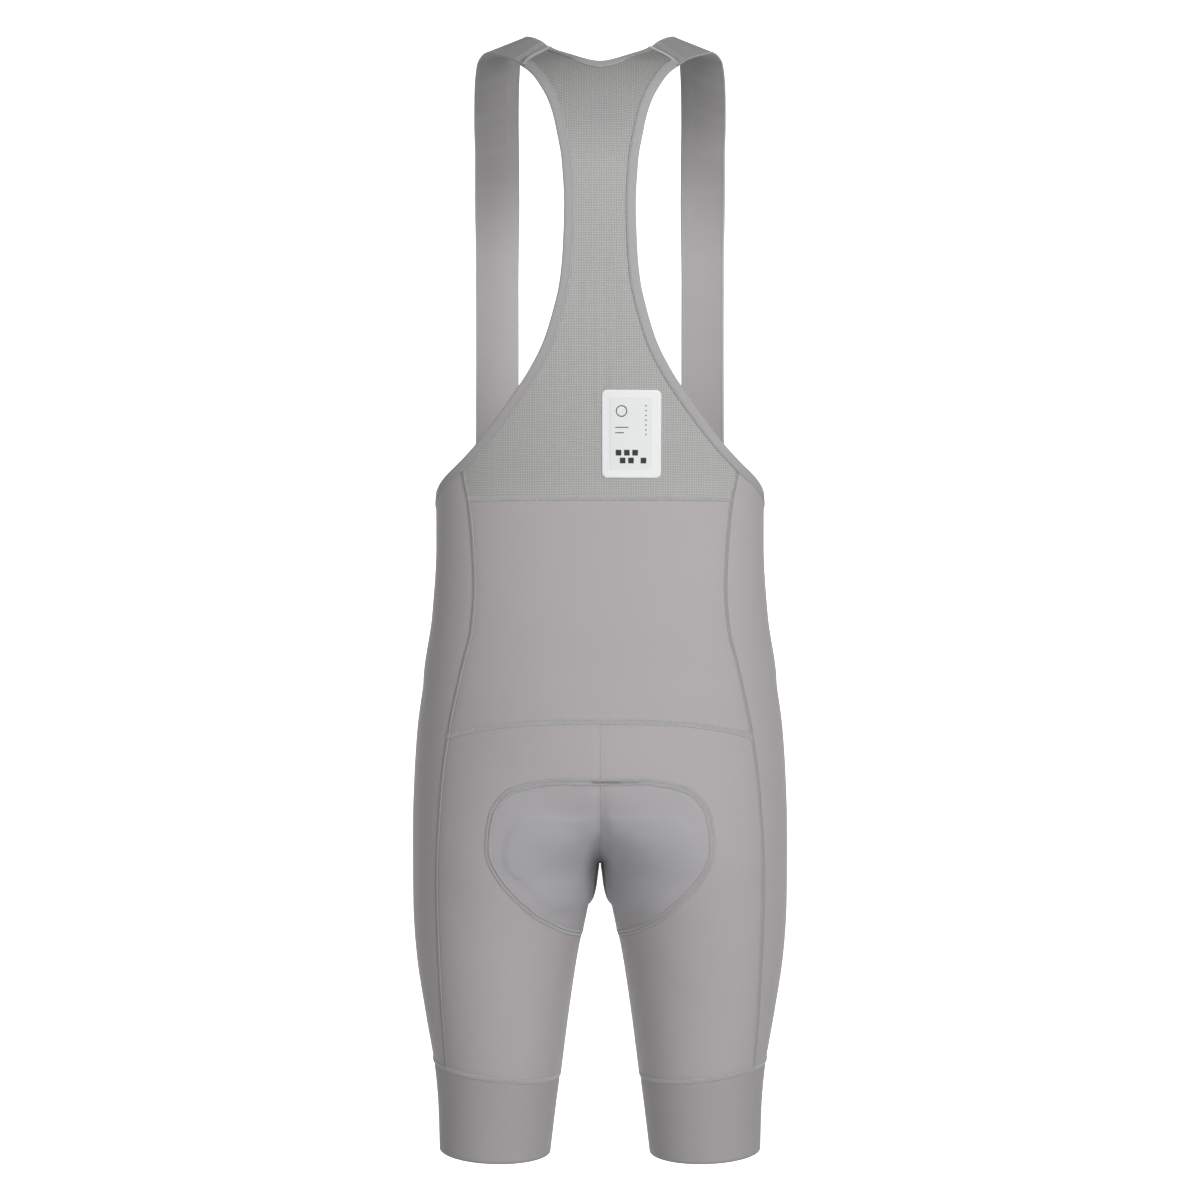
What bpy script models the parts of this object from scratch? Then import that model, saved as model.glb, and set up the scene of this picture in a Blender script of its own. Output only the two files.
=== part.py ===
"""Cycling bib shorts, worn and hollow, as the separate cloth pieces that a maker cuts and sews.

Metres, +Z up. The origin lies between the shoulders, where the two straps rest on the wearer.
The garment faces -Y, so its net back panel is at +Y, and +X is the wearer's left.
Every panel lies on one smooth form, the outer face of the worn garment, which is worked out
from the sections in FORM. A panel is the wall between two upright and two level seams of it.
"""

import math

import bpy
import numpy as np

# ---------------------------------------------------------------- driving sizes

CLOTH = 0.0012  # warp-knit panels
STRAP_CLOTH = 0.0016  # woven elastic
GRIPPER_CLOTH = 0.0016  # raw-cut leg bands
SEAM_GAP = 0.0003  # between neighbouring pieces
HALF_GAP = SEAM_GAP / 2

BINDING_WIDTH = 0.0085
NECK_BINDING_WIDTH = 0.0070
BINDING_ROUND = 0.0015  # from its free edge to its full thickness
BINDING_PROUD = 0.0005  # how far a binding stands off the panel, outside and inside
BINDING_FOLD = 0.3  # its thickness at the free edge, as a share of its full thickness
BINDING_TURN = 0.020  # over this length a binding's width swings round to follow its end seam

WAIST_SEAM_Z = -0.401  # net panel to lumbar panel
YOKE_CENTRE_Z = -0.588  # lumbar panel to seat panels, at the centre back
YOKE_DROP = 0.0145  # how much lower the yoke seam meets the side seams
YOKE_REACH = 0.129  # half the yoke seam's width
GRIPPER_INNER_Z = -0.902  # gripper seam at the inner leg
GRIPPER_RISE = 0.120  # its rise for each metre towards the outer leg
HEM_INNER_Z = -0.9715
HEM_RISE = 0.037
LEG_INNER_X = 0.035  # the inner leg, from which both rise

NECKLINE_CENTRE_Z = -0.0310
NECKLINE_BEND = 1.75  # how slowly the neckline rises near its centre
NECKLINE_REACH_Z = -0.120  # below this height the net panel's rows are level
FRONT_TOP_Z = -0.450  # free edge of the front where the straps join it
FRONT_DIP = 0.050  # how far that edge dips at the centre front
STRAP_FRONT_INNER_X = 0.0755
STRAP_FRONT_OUTER_X = 0.1140
FRONT_SEAM_Z = FRONT_TOP_Z - BINDING_WIDTH  # strap to front panel

# The worn garment's outer face, one row for each level section of its left half.
# outer, inner: x of the half's outer and inner side. Above the legs the inner side lies past
# the centre plane, so the two halves run together. back, front: y of the rearmost and foremost
# point. square: exponent of the rounded section. blend: width over which the halves are smoothed.
FORM_COLUMNS = ("z", "outer", "inner", "back", "front", "square", "blend")
FORM = (
    (0.004, 0.0750, -0.0750, 0.0120, -0.0300, 2.20, 0.000),
    (-0.008, 0.0850, -0.0850, 0.0325, -0.0480, 2.20, 0.000),
    (-0.030, 0.1000, -0.1000, 0.0745, -0.0680, 2.20, 0.000),
    (-0.060, 0.1220, -0.1220, 0.0900, -0.0820, 2.25, 0.000),
    (-0.100, 0.1400, -0.1400, 0.0990, -0.0930, 2.30, 0.000),
    (-0.150, 0.1500, -0.1500, 0.1050, -0.1015, 2.30, 0.000),
    (-0.200, 0.1550, -0.1550, 0.1065, -0.1070, 2.30, 0.000),
    (-0.250, 0.1550, -0.1550, 0.1030, -0.1090, 2.30, 0.000),
    (-0.300, 0.1515, -0.1515, 0.0960, -0.1080, 2.30, 0.000),
    (-0.350, 0.1470, -0.1470, 0.0860, -0.1055, 2.30, 0.000),
    (-0.400, 0.1440, -0.1440, 0.0785, -0.1025, 2.30, 0.000),
    (-0.440, 0.1439, -0.1439, 0.0790, -0.1015, 2.30, 0.000),
    (-0.500, 0.1474, -0.1474, 0.0900, -0.1020, 2.30, 0.000),
    (-0.560, 0.1550, -0.1550, 0.1080, -0.1010, 2.28, 0.000),
    (-0.600, 0.1602, -0.1352, 0.1160, -0.0990, 2.25, 0.020),
    (-0.640, 0.1627, -0.0950, 0.1190, -0.0965, 2.22, 0.030),
    (-0.680, 0.1640, -0.0450, 0.1150, -0.0935, 2.18, 0.024),
    (-0.700, 0.1641, -0.0150, 0.1103, -0.0914, 2.15, 0.012),
    (-0.712, 0.1641, -0.0032, 0.1070, -0.0900, 2.12, 0.004),
    (-0.720, 0.1641, 0.0006, 0.1048, -0.0891, 2.10, 0.001),
    (-0.729, 0.1641, 0.0022, 0.1022, -0.0881, 2.09, 0.001),
    (-0.738, 0.1640, 0.0037, 0.0995, -0.0872, 2.08, 0.001),
    (-0.747, 0.1639, 0.0064, 0.0968, -0.0863, 2.07, 0.001),
    (-0.754, 0.1638, 0.0106, 0.0948, -0.0856, 2.06, 0.001),
    (-0.769, 0.1632, 0.0142, 0.0905, -0.0840, 2.05, 0.001),
    (-0.800, 0.1606, 0.0205, 0.0830, -0.0800, 2.05, 0.001),
    (-0.850, 0.1529, 0.0280, 0.0720, -0.0730, 2.05, 0.001),
    (-0.900, 0.1446, 0.0345, 0.0630, -0.0655, 2.05, 0.001),
    (-0.930, 0.1421, 0.0385, 0.0585, -0.0615, 2.05, 0.001),
    (-0.980, 0.1406, 0.0445, 0.0530, -0.0560, 2.05, 0.001),
)

# Seams of the side panels: x at each height, on the back and on the front of the form.
SEAM_COLUMNS = ("z", "x")
SIDE_BACK_SEAM = (
    (-0.360, 0.1190),
    (-0.382, 0.1170),
    (-0.401, 0.1130),
    (-0.438, 0.1090),
    (-0.478, 0.1070),
    (-0.512, 0.1093),
    (-0.540, 0.1158),
    (-0.586, 0.1258),
    (-0.604, 0.1288),
    (-0.637, 0.1331),
    (-0.675, 0.1360),
    (-0.708, 0.1377),
    (-0.742, 0.1383),
    (-0.791, 0.1373),
    (-0.841, 0.1354),
    (-0.910, 0.1310),
)
SIDE_FRONT_SEAM = (
    (-0.420, 0.1275),
    (-0.480, 0.1255),
    (-0.540, 0.1280),
    (-0.600, 0.1340),
    (-0.660, 0.1385),
    (-0.720, 0.1400),
    (-0.780, 0.1390),
    (-0.840, 0.1355),
    (-0.910, 0.1310),
)

# The shoulder seam, which joins a strap to the back: its ends at the armhole and at the neck.
SHOULDER_OUTER = (0.0655, 0.0600, -0.0335)
SHOULDER_INNER = (0.0430, 0.0290, -0.0050)

# Free edge of the armhole, from just below the shoulder seam down the back and round the side
# to the front. Each point is moved onto the form. Columns: x, y, z.
ARMHOLE = (
    (0.0570, 0.0700, -0.0430),
    (0.0495, 0.0780, -0.0550),
    (0.0440, 0.0840, -0.0660),
    (0.0394, 0.0900, -0.0800),
    (0.0360, 0.0940, -0.0960),
    (0.0320, 0.0990, -0.1200),
    (0.0300, 0.1040, -0.1580),
    (0.0312, 0.1050, -0.1960),
    (0.0337, 0.1040, -0.2210),
    (0.0392, 0.1010, -0.2450),
    (0.0472, 0.0970, -0.2700),
    (0.0595, 0.0900, -0.2940),
    (0.0735, 0.0820, -0.3145),
    (0.0900, 0.0720, -0.3365),
    (0.1045, 0.0620, -0.3540),
    (0.1170, 0.0510, -0.3670),
    (0.1290, 0.0350, -0.3790),
    (0.1375, 0.0200, -0.3885),
    (0.1430, -0.0050, -0.4000),
    (0.1405, -0.0320, -0.4150),
    (0.1335, -0.0500, -0.4290),
    (0.1245, -0.0610, -0.4410),
    (0.1143, -0.0691, -0.4500),
)

# A shoulder strap, from the shoulder seam over the shoulder to the chest. Columns: x, y and z of
# its inner edge, x, y and z of its outer edge, and how closely that row lies on the form, from 0,
# free of it, to 1, on it.
STRAP_OVER_SHOULDER = (
    (0.0505, 0.0190, 0.0002, 0.0745, 0.0450, -0.0225, 0.0),
    (0.0600, 0.0080, 0.0066, 0.0880, 0.0240, -0.0130, 0.0),
    (0.0660, -0.0060, 0.0098, 0.1010, 0.0060, -0.0072, 0.0),
    (0.0695, -0.0220, 0.0062, 0.1085, -0.0110, -0.0108, 0.0),
    (0.0720, -0.0400, -0.0060, 0.1120, -0.0270, -0.0250, 0.0),
    (0.0738, -0.0590, -0.0240, 0.1134, -0.0410, -0.0420, 0.0),
    (0.0748, -0.0760, -0.0510, 0.1140, -0.0520, -0.0640, 0.0),
    (0.0752, -0.0850, -0.0880, 0.1140, -0.0600, -0.0950, 0.4),
    (0.0755, -0.0930, -0.1350, 0.1140, -0.0700, -0.1370, 1.0),
)
STRAP_FRONT_HEIGHTS = (-0.190, -0.250, -0.310, -0.370, -0.420)

# The seat pad, row by row along the centre seam from its back edge, under the crotch, to its
# front edge. Columns: distance down the centre seam, as a share of its length; the edge's angle
# in degrees round the half's middle, 90 at the back, 180 at the inner leg and 270 at the front;
# the edge's height; and the pad's thickness at its middle.
PAD = (
    (0.000, 86.5, -0.6370, 0.0024),
    (0.020, 78.5, -0.6402, 0.0030),
    (0.050, 71.0, -0.6480, 0.0045),
    (0.090, 69.8, -0.6600, 0.0065),
    (0.135, 72.2, -0.6750, 0.0085),
    (0.190, 78.2, -0.6940, 0.0095),
    (0.245, 86.6, -0.7130, 0.0095),
    (0.300, 94.9, -0.7310, 0.0090),
    (0.355, 104.9, -0.7460, 0.0085),
    (0.410, 120.5, -0.7600, 0.0080),
    (0.460, 143.0, -0.7715, 0.0075),
    (0.510, 180.0, -0.7785, 0.0070),
    (0.560, 208.0, -0.7720, 0.0065),
    (0.620, 227.0, -0.7570, 0.0060),
    (0.690, 238.0, -0.7370, 0.0055),
    (0.760, 244.0, -0.7150, 0.0050),
    (0.830, 249.7, -0.6930, 0.0045),
    (0.900, 258.5, -0.6700, 0.0040),
    (0.955, 263.2, -0.6500, 0.0032),
    (1.000, 261.5, -0.6360, 0.0024),
)
PAD_TOP_Z = -0.637  # its back edge on the centre seam
PAD_FRONT_Z = -0.628
PAD_EDGE_THICK = 0.0018
PAD_DOME = 2.4  # exponent with which it thins towards its edge
PAD_CLEAR = 0.0019  # between the pad and the cloth it is sewn to

LABEL_X = -0.0265
LABEL_Z = -0.3475
LABEL_HALF_WIDTH = 0.0250
LABEL_HALF_HEIGHT = 0.0365
LABEL_CORNER = 0.0045
LABEL_THICK = 0.0010
LABEL_OFF = 0.0005  # between the patch and the net, whose points lie elsewhere

# How coarse the points are. Neighbours share their rows' heights along an upright seam.
NET_SIDE_ROWS = 1  # beside the side panel, from the armhole to the waist seam
LUMBAR_ROWS = 10
SEAT_ROWS = 5  # from the yoke seam to where the rows turn level
NEAR_CROTCH = 0.045  # over this height above the crotch the rows gather towards it
NEAR_ROWS = 6
BELOW_CROTCH = (0.005, 0.013, 0.023, 0.035, 0.049)
LEG_ROW = 0.020
SHOULDER_ROWS = 2
BACK_COLUMNS = 14
SEAT_COLUMNS = 13
SEAT_GATHER = 1.25  # exponent with which the columns gather at the centre seam
GRIPPER_COLUMNS = 28
GRIPPER_ROWS = 4
PAD_HALF_COLUMNS = 7
PAD_GATHER = 1.4  # as SEAT_GATHER
STRAP_SPANS = 3
LABEL_SPANS = 6
LABEL_ROWS = 5  # between its rounded corners
CORNER_STEPS = 3
EDGE_STEP = 0.016  # along the armhole's binding
NECK_SPANS = 4  # of the neck's and the front's binding, from the centre
FRONT_SPANS = 6

COLOURS = {
    "knit": (0.38, 0.365, 0.37, 1.0),
    "net": (0.39, 0.385, 0.38, 1.0),
    "elastic": (0.36, 0.35, 0.355, 1.0),
    "binding": (0.35, 0.345, 0.345, 1.0),
    "gripper": (0.34, 0.325, 0.33, 1.0),
    "pad": (0.30, 0.30, 0.32, 1.0),
    "label": (0.80, 0.81, 0.82, 1.0),
}
ROUGHNESS = {
    "knit": 0.80,
    "net": 0.85,
    "elastic": 0.70,
    "binding": 0.70,
    "gripper": 0.80,
    "pad": 0.90,
    "label": 0.45,
}
SHARP_ANGLE = math.radians(40)

BISECTIONS = 30
SETTLINGS = 12  # in which a point reaches the form
WALK_STEPS = 4
CENTRE_STEPS = 60  # along each half of the pad's centre line
PASSES = 6  # in which rows settle on a bent seam
CROTCH_BETWEEN = (-0.75, -0.69)  # heights that the legs' parting lies between
LEAST_BLEND = 1e-6
NORMAL_STEP = 0.0002
FAR = 0.30  # further out than any section
TINY = 1e-9
DOWN = (0.0, 0.0, -1.0)


# ---------------------------------------------------------------- tables and curves


def through(knots, values, at):
    """A smooth curve through (knots, values) that never swings past them, read at the places at."""
    knots, values, at = (np.asarray(a, float) for a in (knots, values, at))
    if knots[0] > knots[-1]:
        knots, values = knots[::-1], values[::-1]
    step = np.diff(knots)
    rise = np.diff(values) / step
    slope = np.zeros(len(knots))
    slope[0], slope[-1] = rise[0], rise[-1]
    same = rise[:-1] * rise[1:] > 0
    before, after = np.where(same, rise[:-1], 1.0), np.where(same, rise[1:], 1.0)
    slope[1:-1] = np.where(same, 2 * before * after / (before + after), 0.0)
    at = np.clip(at, knots[0], knots[-1])
    k = np.clip(np.searchsorted(knots, at) - 1, 0, len(step) - 1)
    t = (at - knots[k]) / step[k]
    return (
        values[k] * (1 + 2 * t) * (1 - t) ** 2
        + values[k + 1] * t**2 * (3 - 2 * t)
        + step[k] * t * (1 - t) * (slope[k] * (1 - t) - slope[k + 1] * t)
    )


def column(table, names, name, at):
    """A table's column as a smooth function of its first column."""
    rows = np.array(table)
    return through(rows[:, 0], rows[:, names.index(name)], at)


def unit(vectors):
    return vectors / np.maximum(np.linalg.norm(vectors, axis=-1, keepdims=True), TINY)


def lengths_along(points):
    steps = np.linalg.norm(np.diff(points, axis=0), axis=1)
    return np.concatenate([[0], np.cumsum(steps)])


def route(points, step):
    """Points about step apart, evenly spaced along a smooth curve through the given ones."""
    points = np.asarray(points, float)
    along = lengths_along(points)
    at = np.linspace(0, along[-1], max(2, round(along[-1] / step)) + 1)
    return np.stack([through(along, points[:, k], at) for k in range(3)], axis=1)


def split(line, value):
    """The two parts of a line, before and after the place where value turns negative."""
    values = value(line)
    k = np.argmax(values < 0)
    share = values[k - 1] / (values[k - 1] - values[k])
    there = line[k - 1] + (line[k] - line[k - 1]) * share
    return np.concatenate([line[:k], [there]]), np.concatenate([[there], line[k:]])


# ---------------------------------------------------------------- the form


def section(z):
    """A half's section at height z: its middle, half width, back and front depth, and roundness."""
    outer, inner, back, front, square, blend = (
        column(FORM, FORM_COLUMNS, name, z) for name in FORM_COLUMNS[1:]
    )
    return (outer + inner) / 2, (outer - inner) / 2, back, -front, square, np.maximum(blend, LEAST_BLEND)


def middle_x(z):
    return section(z)[0]


def half_field(cut, x, y):
    """Distance of a point outside (+) or inside (-) one half's section."""
    middle, width, back, front, square, _ = cut
    depth = np.where(y > 0, back, front)
    scaled = (np.abs((x - middle) / width) ** square + np.abs(y / depth) ** square) ** (1 / square)
    return np.hypot(x - middle, y) * (1 - 1 / np.maximum(scaled, TINY))


def field_in(cut, x, y):
    """The same for the whole garment, whose two halves run smoothly together."""
    left, right = half_field(cut, x, y), half_field(cut, -x, y)
    blend = cut[5]
    overlap = np.maximum(blend - np.abs(left - right), 0) / blend
    return np.minimum(left, right) - overlap**2 * blend / 4


def field(points):
    x, y, z = np.moveaxis(np.asarray(points, float), -1, 0)
    return field_in(section(z), x, y)


def crossing(far, value):
    """The distance, from 0 to far, at which value turns from negative to positive."""
    low, high = np.zeros_like(far), np.array(far, float)
    for _ in range(BISECTIONS):
        half = (low + high) / 2
        out = value(half) > 0
        low, high = np.where(out, low, half), np.where(out, half, high)
    return (low + high) / 2


def ring(z, angle, depth=0.0):
    """x and y at height z of the face that lies depth inside the form, at an angle round the
    half's middle: 0 is outwards, 90 degrees back, 180 inwards. It stops at the centre plane."""
    cut = section(z)
    cos, sin = np.cos(angle), np.sin(angle)
    plane = np.where(cos < 0, cut[0] / np.maximum(-cos, TINY), FAR)
    far = np.minimum(plane, FAR)
    away = crossing(far, lambda r: field_in(cut, cut[0] + r * cos, r * sin) + depth)
    return cut[0] + away * cos, away * sin


def side_y(x, z, side, depth=0.0):
    """y of that face at x and z, on its back (side +1) or its front (side -1)."""
    x, z = np.broadcast_arrays(np.asarray(x, float), np.asarray(z, float))
    cut = section(z)
    return side * crossing(
        np.full_like(x, FAR), lambda y: field_in(cut, x, side * y) + depth
    )


def centre_angle(z, side, depth=0.0):
    """The angle at which a half's section ends: on the centre plane or at the inner leg."""
    zero = np.zeros_like(z)
    whole = field_in(section(z), zero, zero) + depth < 0
    y = np.where(whole, np.abs(side_y(zero, z, side, depth)), 0.0)
    return side * np.where(whole, np.arctan2(y, -middle_x(z)), math.pi)


def seam_x(seam, z):
    return column(seam, SEAM_COLUMNS, "x", z)


def seam_angle(seam, z, side):
    x = seam_x(seam, z)
    return np.arctan2(side_y(x, z, side), x - middle_x(z))


def crotch_z(depth=0.0):
    """The height at which the two legs part."""
    low, high = CROTCH_BETWEEN
    for _ in range(BISECTIONS):
        half = (low + high) / 2
        whole = field_in(section(half), 0.0, 0.0) + depth < 0
        low, high = (low, half) if whole else (half, high)
    return (low + high) / 2


def gradient(points):
    shifts = np.eye(3) * NORMAL_STEP
    ahead = [field(points + shift) - field(points - shift) for shift in shifts]
    return np.stack(ahead, axis=-1) / (2 * NORMAL_STEP)


def normals(points):
    return unit(gradient(points))


def onto_form(points):
    """Points moved onto the form, straight towards it."""
    points = np.array(points, float)
    for _ in range(SETTLINGS):
        slope = gradient(points)
        points = points - slope * (field(points) / (slope**2).sum(-1))[..., None]
    return points


def on_back(x, z):
    return np.stack(np.broadcast_arrays(x, side_y(x, z, 1), z), axis=-1)


def on_front(x, z):
    return np.stack(np.broadcast_arrays(x, side_y(x, z, -1), z), axis=-1)


def walk(start, heading, length):
    """The points reached from start by going straight over the form for a length."""
    here = start
    for _ in range(WALK_STEPS):
        up = normals(here)
        heading = unit(heading - up * (heading * up).sum(-1, keepdims=True))
        here = onto_form(here + heading * (length / WALK_STEPS)[..., None])
    return here


# ---------------------------------------------------------------- level seams


def yoke_z(x):
    return YOKE_CENTRE_Z - YOKE_DROP * (np.abs(x) / YOKE_REACH) ** 3


def gripper_seam_z(x):
    return GRIPPER_INNER_Z + GRIPPER_RISE * (x - LEG_INNER_X)


def hem_z(x):
    return HEM_INNER_Z + HEM_RISE * (x - LEG_INNER_X)


def leg_levels(upper):
    """Heights of a leg panel's rows: the given ones down to where the rows turn level, then rows
    that gather at the crotch, where the centre seam turns level, and then even ones."""
    crotch = crotch_z()
    near = crotch + NEAR_CROTCH * (np.arange(NEAR_ROWS, -1, -1) / NEAR_ROWS) ** 2
    below = crotch - np.array(BELOW_CROTCH)
    legs = np.linspace(below[-1], GRIPPER_INNER_Z, round((below[-1] - GRIPPER_INNER_Z) / LEG_ROW))
    return np.concatenate([upper[:-1], near, below, legs[1:]])


def level_from():
    return crotch_z() + NEAR_CROTCH


def level_to():
    return crotch_z() - BELOW_CROTCH[-1]


def back_seam_levels(armhole_z):
    """Heights of the rows that meet along the side-back seam, from the armhole down."""
    parts = (
        np.linspace(armhole_z, WAIST_SEAM_Z, NET_SIDE_ROWS + 1)[:-1],
        np.linspace(WAIST_SEAM_Z, yoke_z(YOKE_REACH), LUMBAR_ROWS + 1)[:-1],
        np.linspace(yoke_z(YOKE_REACH), level_from(), SEAT_ROWS + 1),
    )
    return np.concatenate(parts)


def moved_top(levels, top):
    """The same rows, spread evenly so that the first one is at another height."""
    return levels[-1] + (levels - levels[-1]) * (top - levels[-1]) / (levels[0] - levels[-1])


def angle_of(points):
    return np.arctan2(points[..., 1], points[..., 0] - middle_x(points[..., 2]))


def angle_reading(line):
    """A line's height as a function of the angle."""
    angles = angle_of(line)
    order = np.argsort(angles)
    return lambda x, angle: np.interp(angle, angles[order], line[order, 2])


def patch(first, last, top, foot, levels, across):
    """Points of the form between two upright seams (angles as functions of z) and two level ones
    (heights as functions of x and the angle), in rows that bend to meet the level seams.
    across: the columns' places, 0 on the first seam to 1 on the last."""
    levels = np.asarray(levels, float)[:, None]
    first_z, last_z = levels[0, 0], levels[-1, 0]
    high = level_from() if last_z < level_from() < first_z else last_z
    low = level_to() if last_z < level_to() < first_z else first_z
    bend_top = np.clip((levels - high) / (levels[0] - high), 0, 1)
    bend_foot = np.clip((low - levels) / (low - levels[-1]), 0, 1)
    across = np.asarray(across)[None, :]
    z = levels + 0 * across
    for _ in range(PASSES):
        angle = first(z[:, :1]) * (1 - across) + last(z[:, -1:]) * across
        x, _ = ring(z, angle)
        z = (
            levels
            + bend_top * (top(x, angle) - levels[0])
            + bend_foot * (foot(x, angle) - levels[-1])
        )
    x, y = ring(z, angle)
    return np.stack([x, y, z], axis=-1)


# ---------------------------------------------------------------- lines that carry a binding


def shoulder(share, shift):
    """Points of the shoulder seam, from the armhole (share 0) to the neck (1), shifted off it,
    towards the back panel (+) or the strap (-)."""
    outer, inner = np.array(SHOULDER_OUTER), np.array(SHOULDER_INNER)
    share = np.asarray(share, float)[..., None]
    points = onto_form(outer * (1 - share) + inner * share)
    return points + shift * unit(np.cross(inner - outer, normals(points)))


def inner_line(free, width, first, last):
    """The line at which a panel ends, a binding's width in from the garment's free edge. At both
    ends the binding's width swings round to the headings first and last."""
    along = unit(np.gradient(free, axis=0))
    sideways = unit(np.cross(normals(free), along))
    at = lengths_along(free)
    heading = sideways.copy()
    for end, off in ((first, at), (last, at[-1] - at)):
        share = np.clip(1 - off / BINDING_TURN, 0, 1)[:, None]
        end = np.array(end) / (sideways * end).sum(-1, keepdims=True)
        heading = heading * (1 - share) + end * share
    return walk(free, heading, width * np.linalg.norm(heading, axis=1))


def armhole_lines():
    """The armhole's free edge, and the line where the panels inside it end."""
    start, end = shoulder(0.0, HALF_GAP), shoulder(1.0, HALF_GAP)
    free = onto_form(route([start, *ARMHOLE], EDGE_STEP))
    line = inner_line(free, BINDING_WIDTH, end - start, DOWN)
    share = np.linalg.norm(line[0] - start) / np.linalg.norm(end - start)
    line[0] = shoulder(share, HALF_GAP)
    line[-1] = on_front(STRAP_FRONT_OUTER_X + SEAM_GAP, FRONT_SEAM_Z)
    return free, line


def neck_rise(share):
    """How far the neckline has risen from its centre, 0, to the shoulder seam, 1."""
    return share**NECKLINE_BEND


def neck_lines():
    """The same for the neckline, from its centre to the left shoulder seam."""
    start, end = shoulder(0.0, HALF_GAP), shoulder(1.0, HALF_GAP)
    x = np.linspace(0, 1, NECK_SPANS + 1) * end[0]
    z = NECKLINE_CENTRE_Z + (end[2] - NECKLINE_CENTRE_Z) * neck_rise(x / end[0])
    free = on_back(x, z)
    free[-1] = end
    line = inner_line(free, NECK_BINDING_WIDTH, DOWN, start - end)
    share = np.linalg.norm(line[-1] - end) / np.linalg.norm(end - start)
    line[-1] = shoulder(1 - share, HALF_GAP)
    line[0, 0] = 0.0
    return free, line


def front_lines():
    """The same for the front's top edge, from its centre to the left strap."""
    reach = STRAP_FRONT_INNER_X - SEAM_GAP
    x = np.linspace(0, reach, FRONT_SPANS + 1)
    z = FRONT_TOP_Z - FRONT_DIP * (1 - (x / reach) ** 2) ** 2
    free = on_front(x, z)
    line = inner_line(free[::-1], BINDING_WIDTH, DOWN, DOWN)[::-1]
    line[0, 0] = 0.0
    line[-1] = on_front(reach, FRONT_SEAM_Z)
    return free, line


# ---------------------------------------------------------------- solids


def material(kind):
    made = bpy.data.materials.get(kind) or bpy.data.materials.new(kind)
    made.use_nodes = True
    shader = made.node_tree.nodes["Principled BSDF"]
    shader.inputs["Base Color"].default_value = COLOURS[kind]
    shader.inputs["Roughness"].default_value = ROUGHNESS[kind]
    shader.inputs["Metallic"].default_value = 0.0
    return made


def wall(name, kind, outer, inner, tube=False):
    """A closed wall between two grids of points. A tube's last column joins its first.
    The inner face is worked out from the form, so that neighbours stay parallel at a seam."""
    rows, columns = outer.shape[:2]
    points = np.concatenate([outer.reshape(-1, 3), inner.reshape(-1, 3)])
    index = np.arange(2 * rows * columns).reshape(2, rows, columns)
    if tube:
        index = np.concatenate([index, index[:, :, :1]], axis=2)
    out, under = index

    def quad(*corners):
        a, b, c, d = points[list(corners)]
        short = np.linalg.norm(a - c) <= np.linalg.norm(b - d)
        faces.append(corners if short else (*corners[1:], corners[0]))

    faces = []
    for i in range(rows - 1):
        for j in range(index.shape[2] - 1):
            quad(out[i, j], out[i, j + 1], out[i + 1, j + 1], out[i + 1, j])
            quad(under[i + 1, j], under[i + 1, j + 1], under[i, j + 1], under[i, j])
    for j in range(index.shape[2] - 1):
        quad(out[0, j + 1], out[0, j], under[0, j], under[0, j + 1])
        quad(out[-1, j], out[-1, j + 1], under[-1, j + 1], under[-1, j])
    if not tube:
        for i in range(rows - 1):
            quad(out[i, 0], out[i + 1, 0], under[i + 1, 0], under[i, 0])
            quad(out[i + 1, -1], out[i, -1], under[i, -1], under[i + 1, -1])
    mesh = bpy.data.meshes.new(name)
    mesh.from_pydata(points.tolist(), [], [tuple(map(int, face)) for face in faces])
    if inside_out(points, faces):
        mesh.flip_normals()
    mesh.shade_smooth()
    mesh.set_sharp_from_angle(angle=SHARP_ANGLE)
    mesh.materials.append(material(kind))
    garment.objects.link(bpy.data.objects.new(name, mesh))


def inside_out(points, faces):
    a, b, c, d = (points[[face[k] for face in faces]] for k in range(4))
    return (a * (np.cross(b, c) + np.cross(c, d))).sum() < 0


def pair(name, kind, outer, inner, tube=False):
    """A piece of the wearer's left side, and its mirror image on the right."""
    mirror = np.array([-1.0, 1.0, 1.0])
    wall(f"{name}_left", kind, outer, inner, tube)
    wall(f"{name}_right", kind, outer * mirror, inner * mirror, tube)


def inwards(points, thick):
    return points - normals(points) * thick


def leg_piece(name, points, side):
    """Walls of a left and a right panel that meet at the centre seam and at the inner leg."""
    faces = []
    for face in (points, inwards(points, CLOTH)):
        face[..., 0] = np.maximum(face[..., 0], HALF_GAP)
        face[..., 1] = side * np.maximum(side * face[..., 1], HALF_GAP)
        faces.append(face)
    pair(name, "knit", *faces)


def binding_faces(free, line):
    """A folded tape between a free edge and the line where its panel ends: its two faces."""
    width = np.linalg.norm(line - free, axis=1, keepdims=True)
    shares = (0 * width, BINDING_ROUND / width, 1 - SEAM_GAP / width)
    lines = onto_form(np.stack([free * (1 - share) + line * share for share in shares], axis=1))
    half = np.array([BINDING_FOLD, 1.0, 1.0]) * (CLOTH / 2 + BINDING_PROUD)
    up = normals(lines)
    return lines + up * (half - CLOTH / 2)[:, None], lines - up * (half + CLOTH / 2)[:, None]


def whole(line):
    """A line from the centre to the left, continued from the centre to the right."""
    return np.concatenate([line[:0:-1] * (-1, 1, 1), line])


# ---------------------------------------------------------------- the garment's pieces


def half_gap_angle(z):
    return HALF_GAP / section(z)[1]


def back_seam(z):
    return seam_angle(SIDE_BACK_SEAM, z, 1)


def front_seam(z):
    return seam_angle(SIDE_FRONT_SEAM, z, -1)


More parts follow.
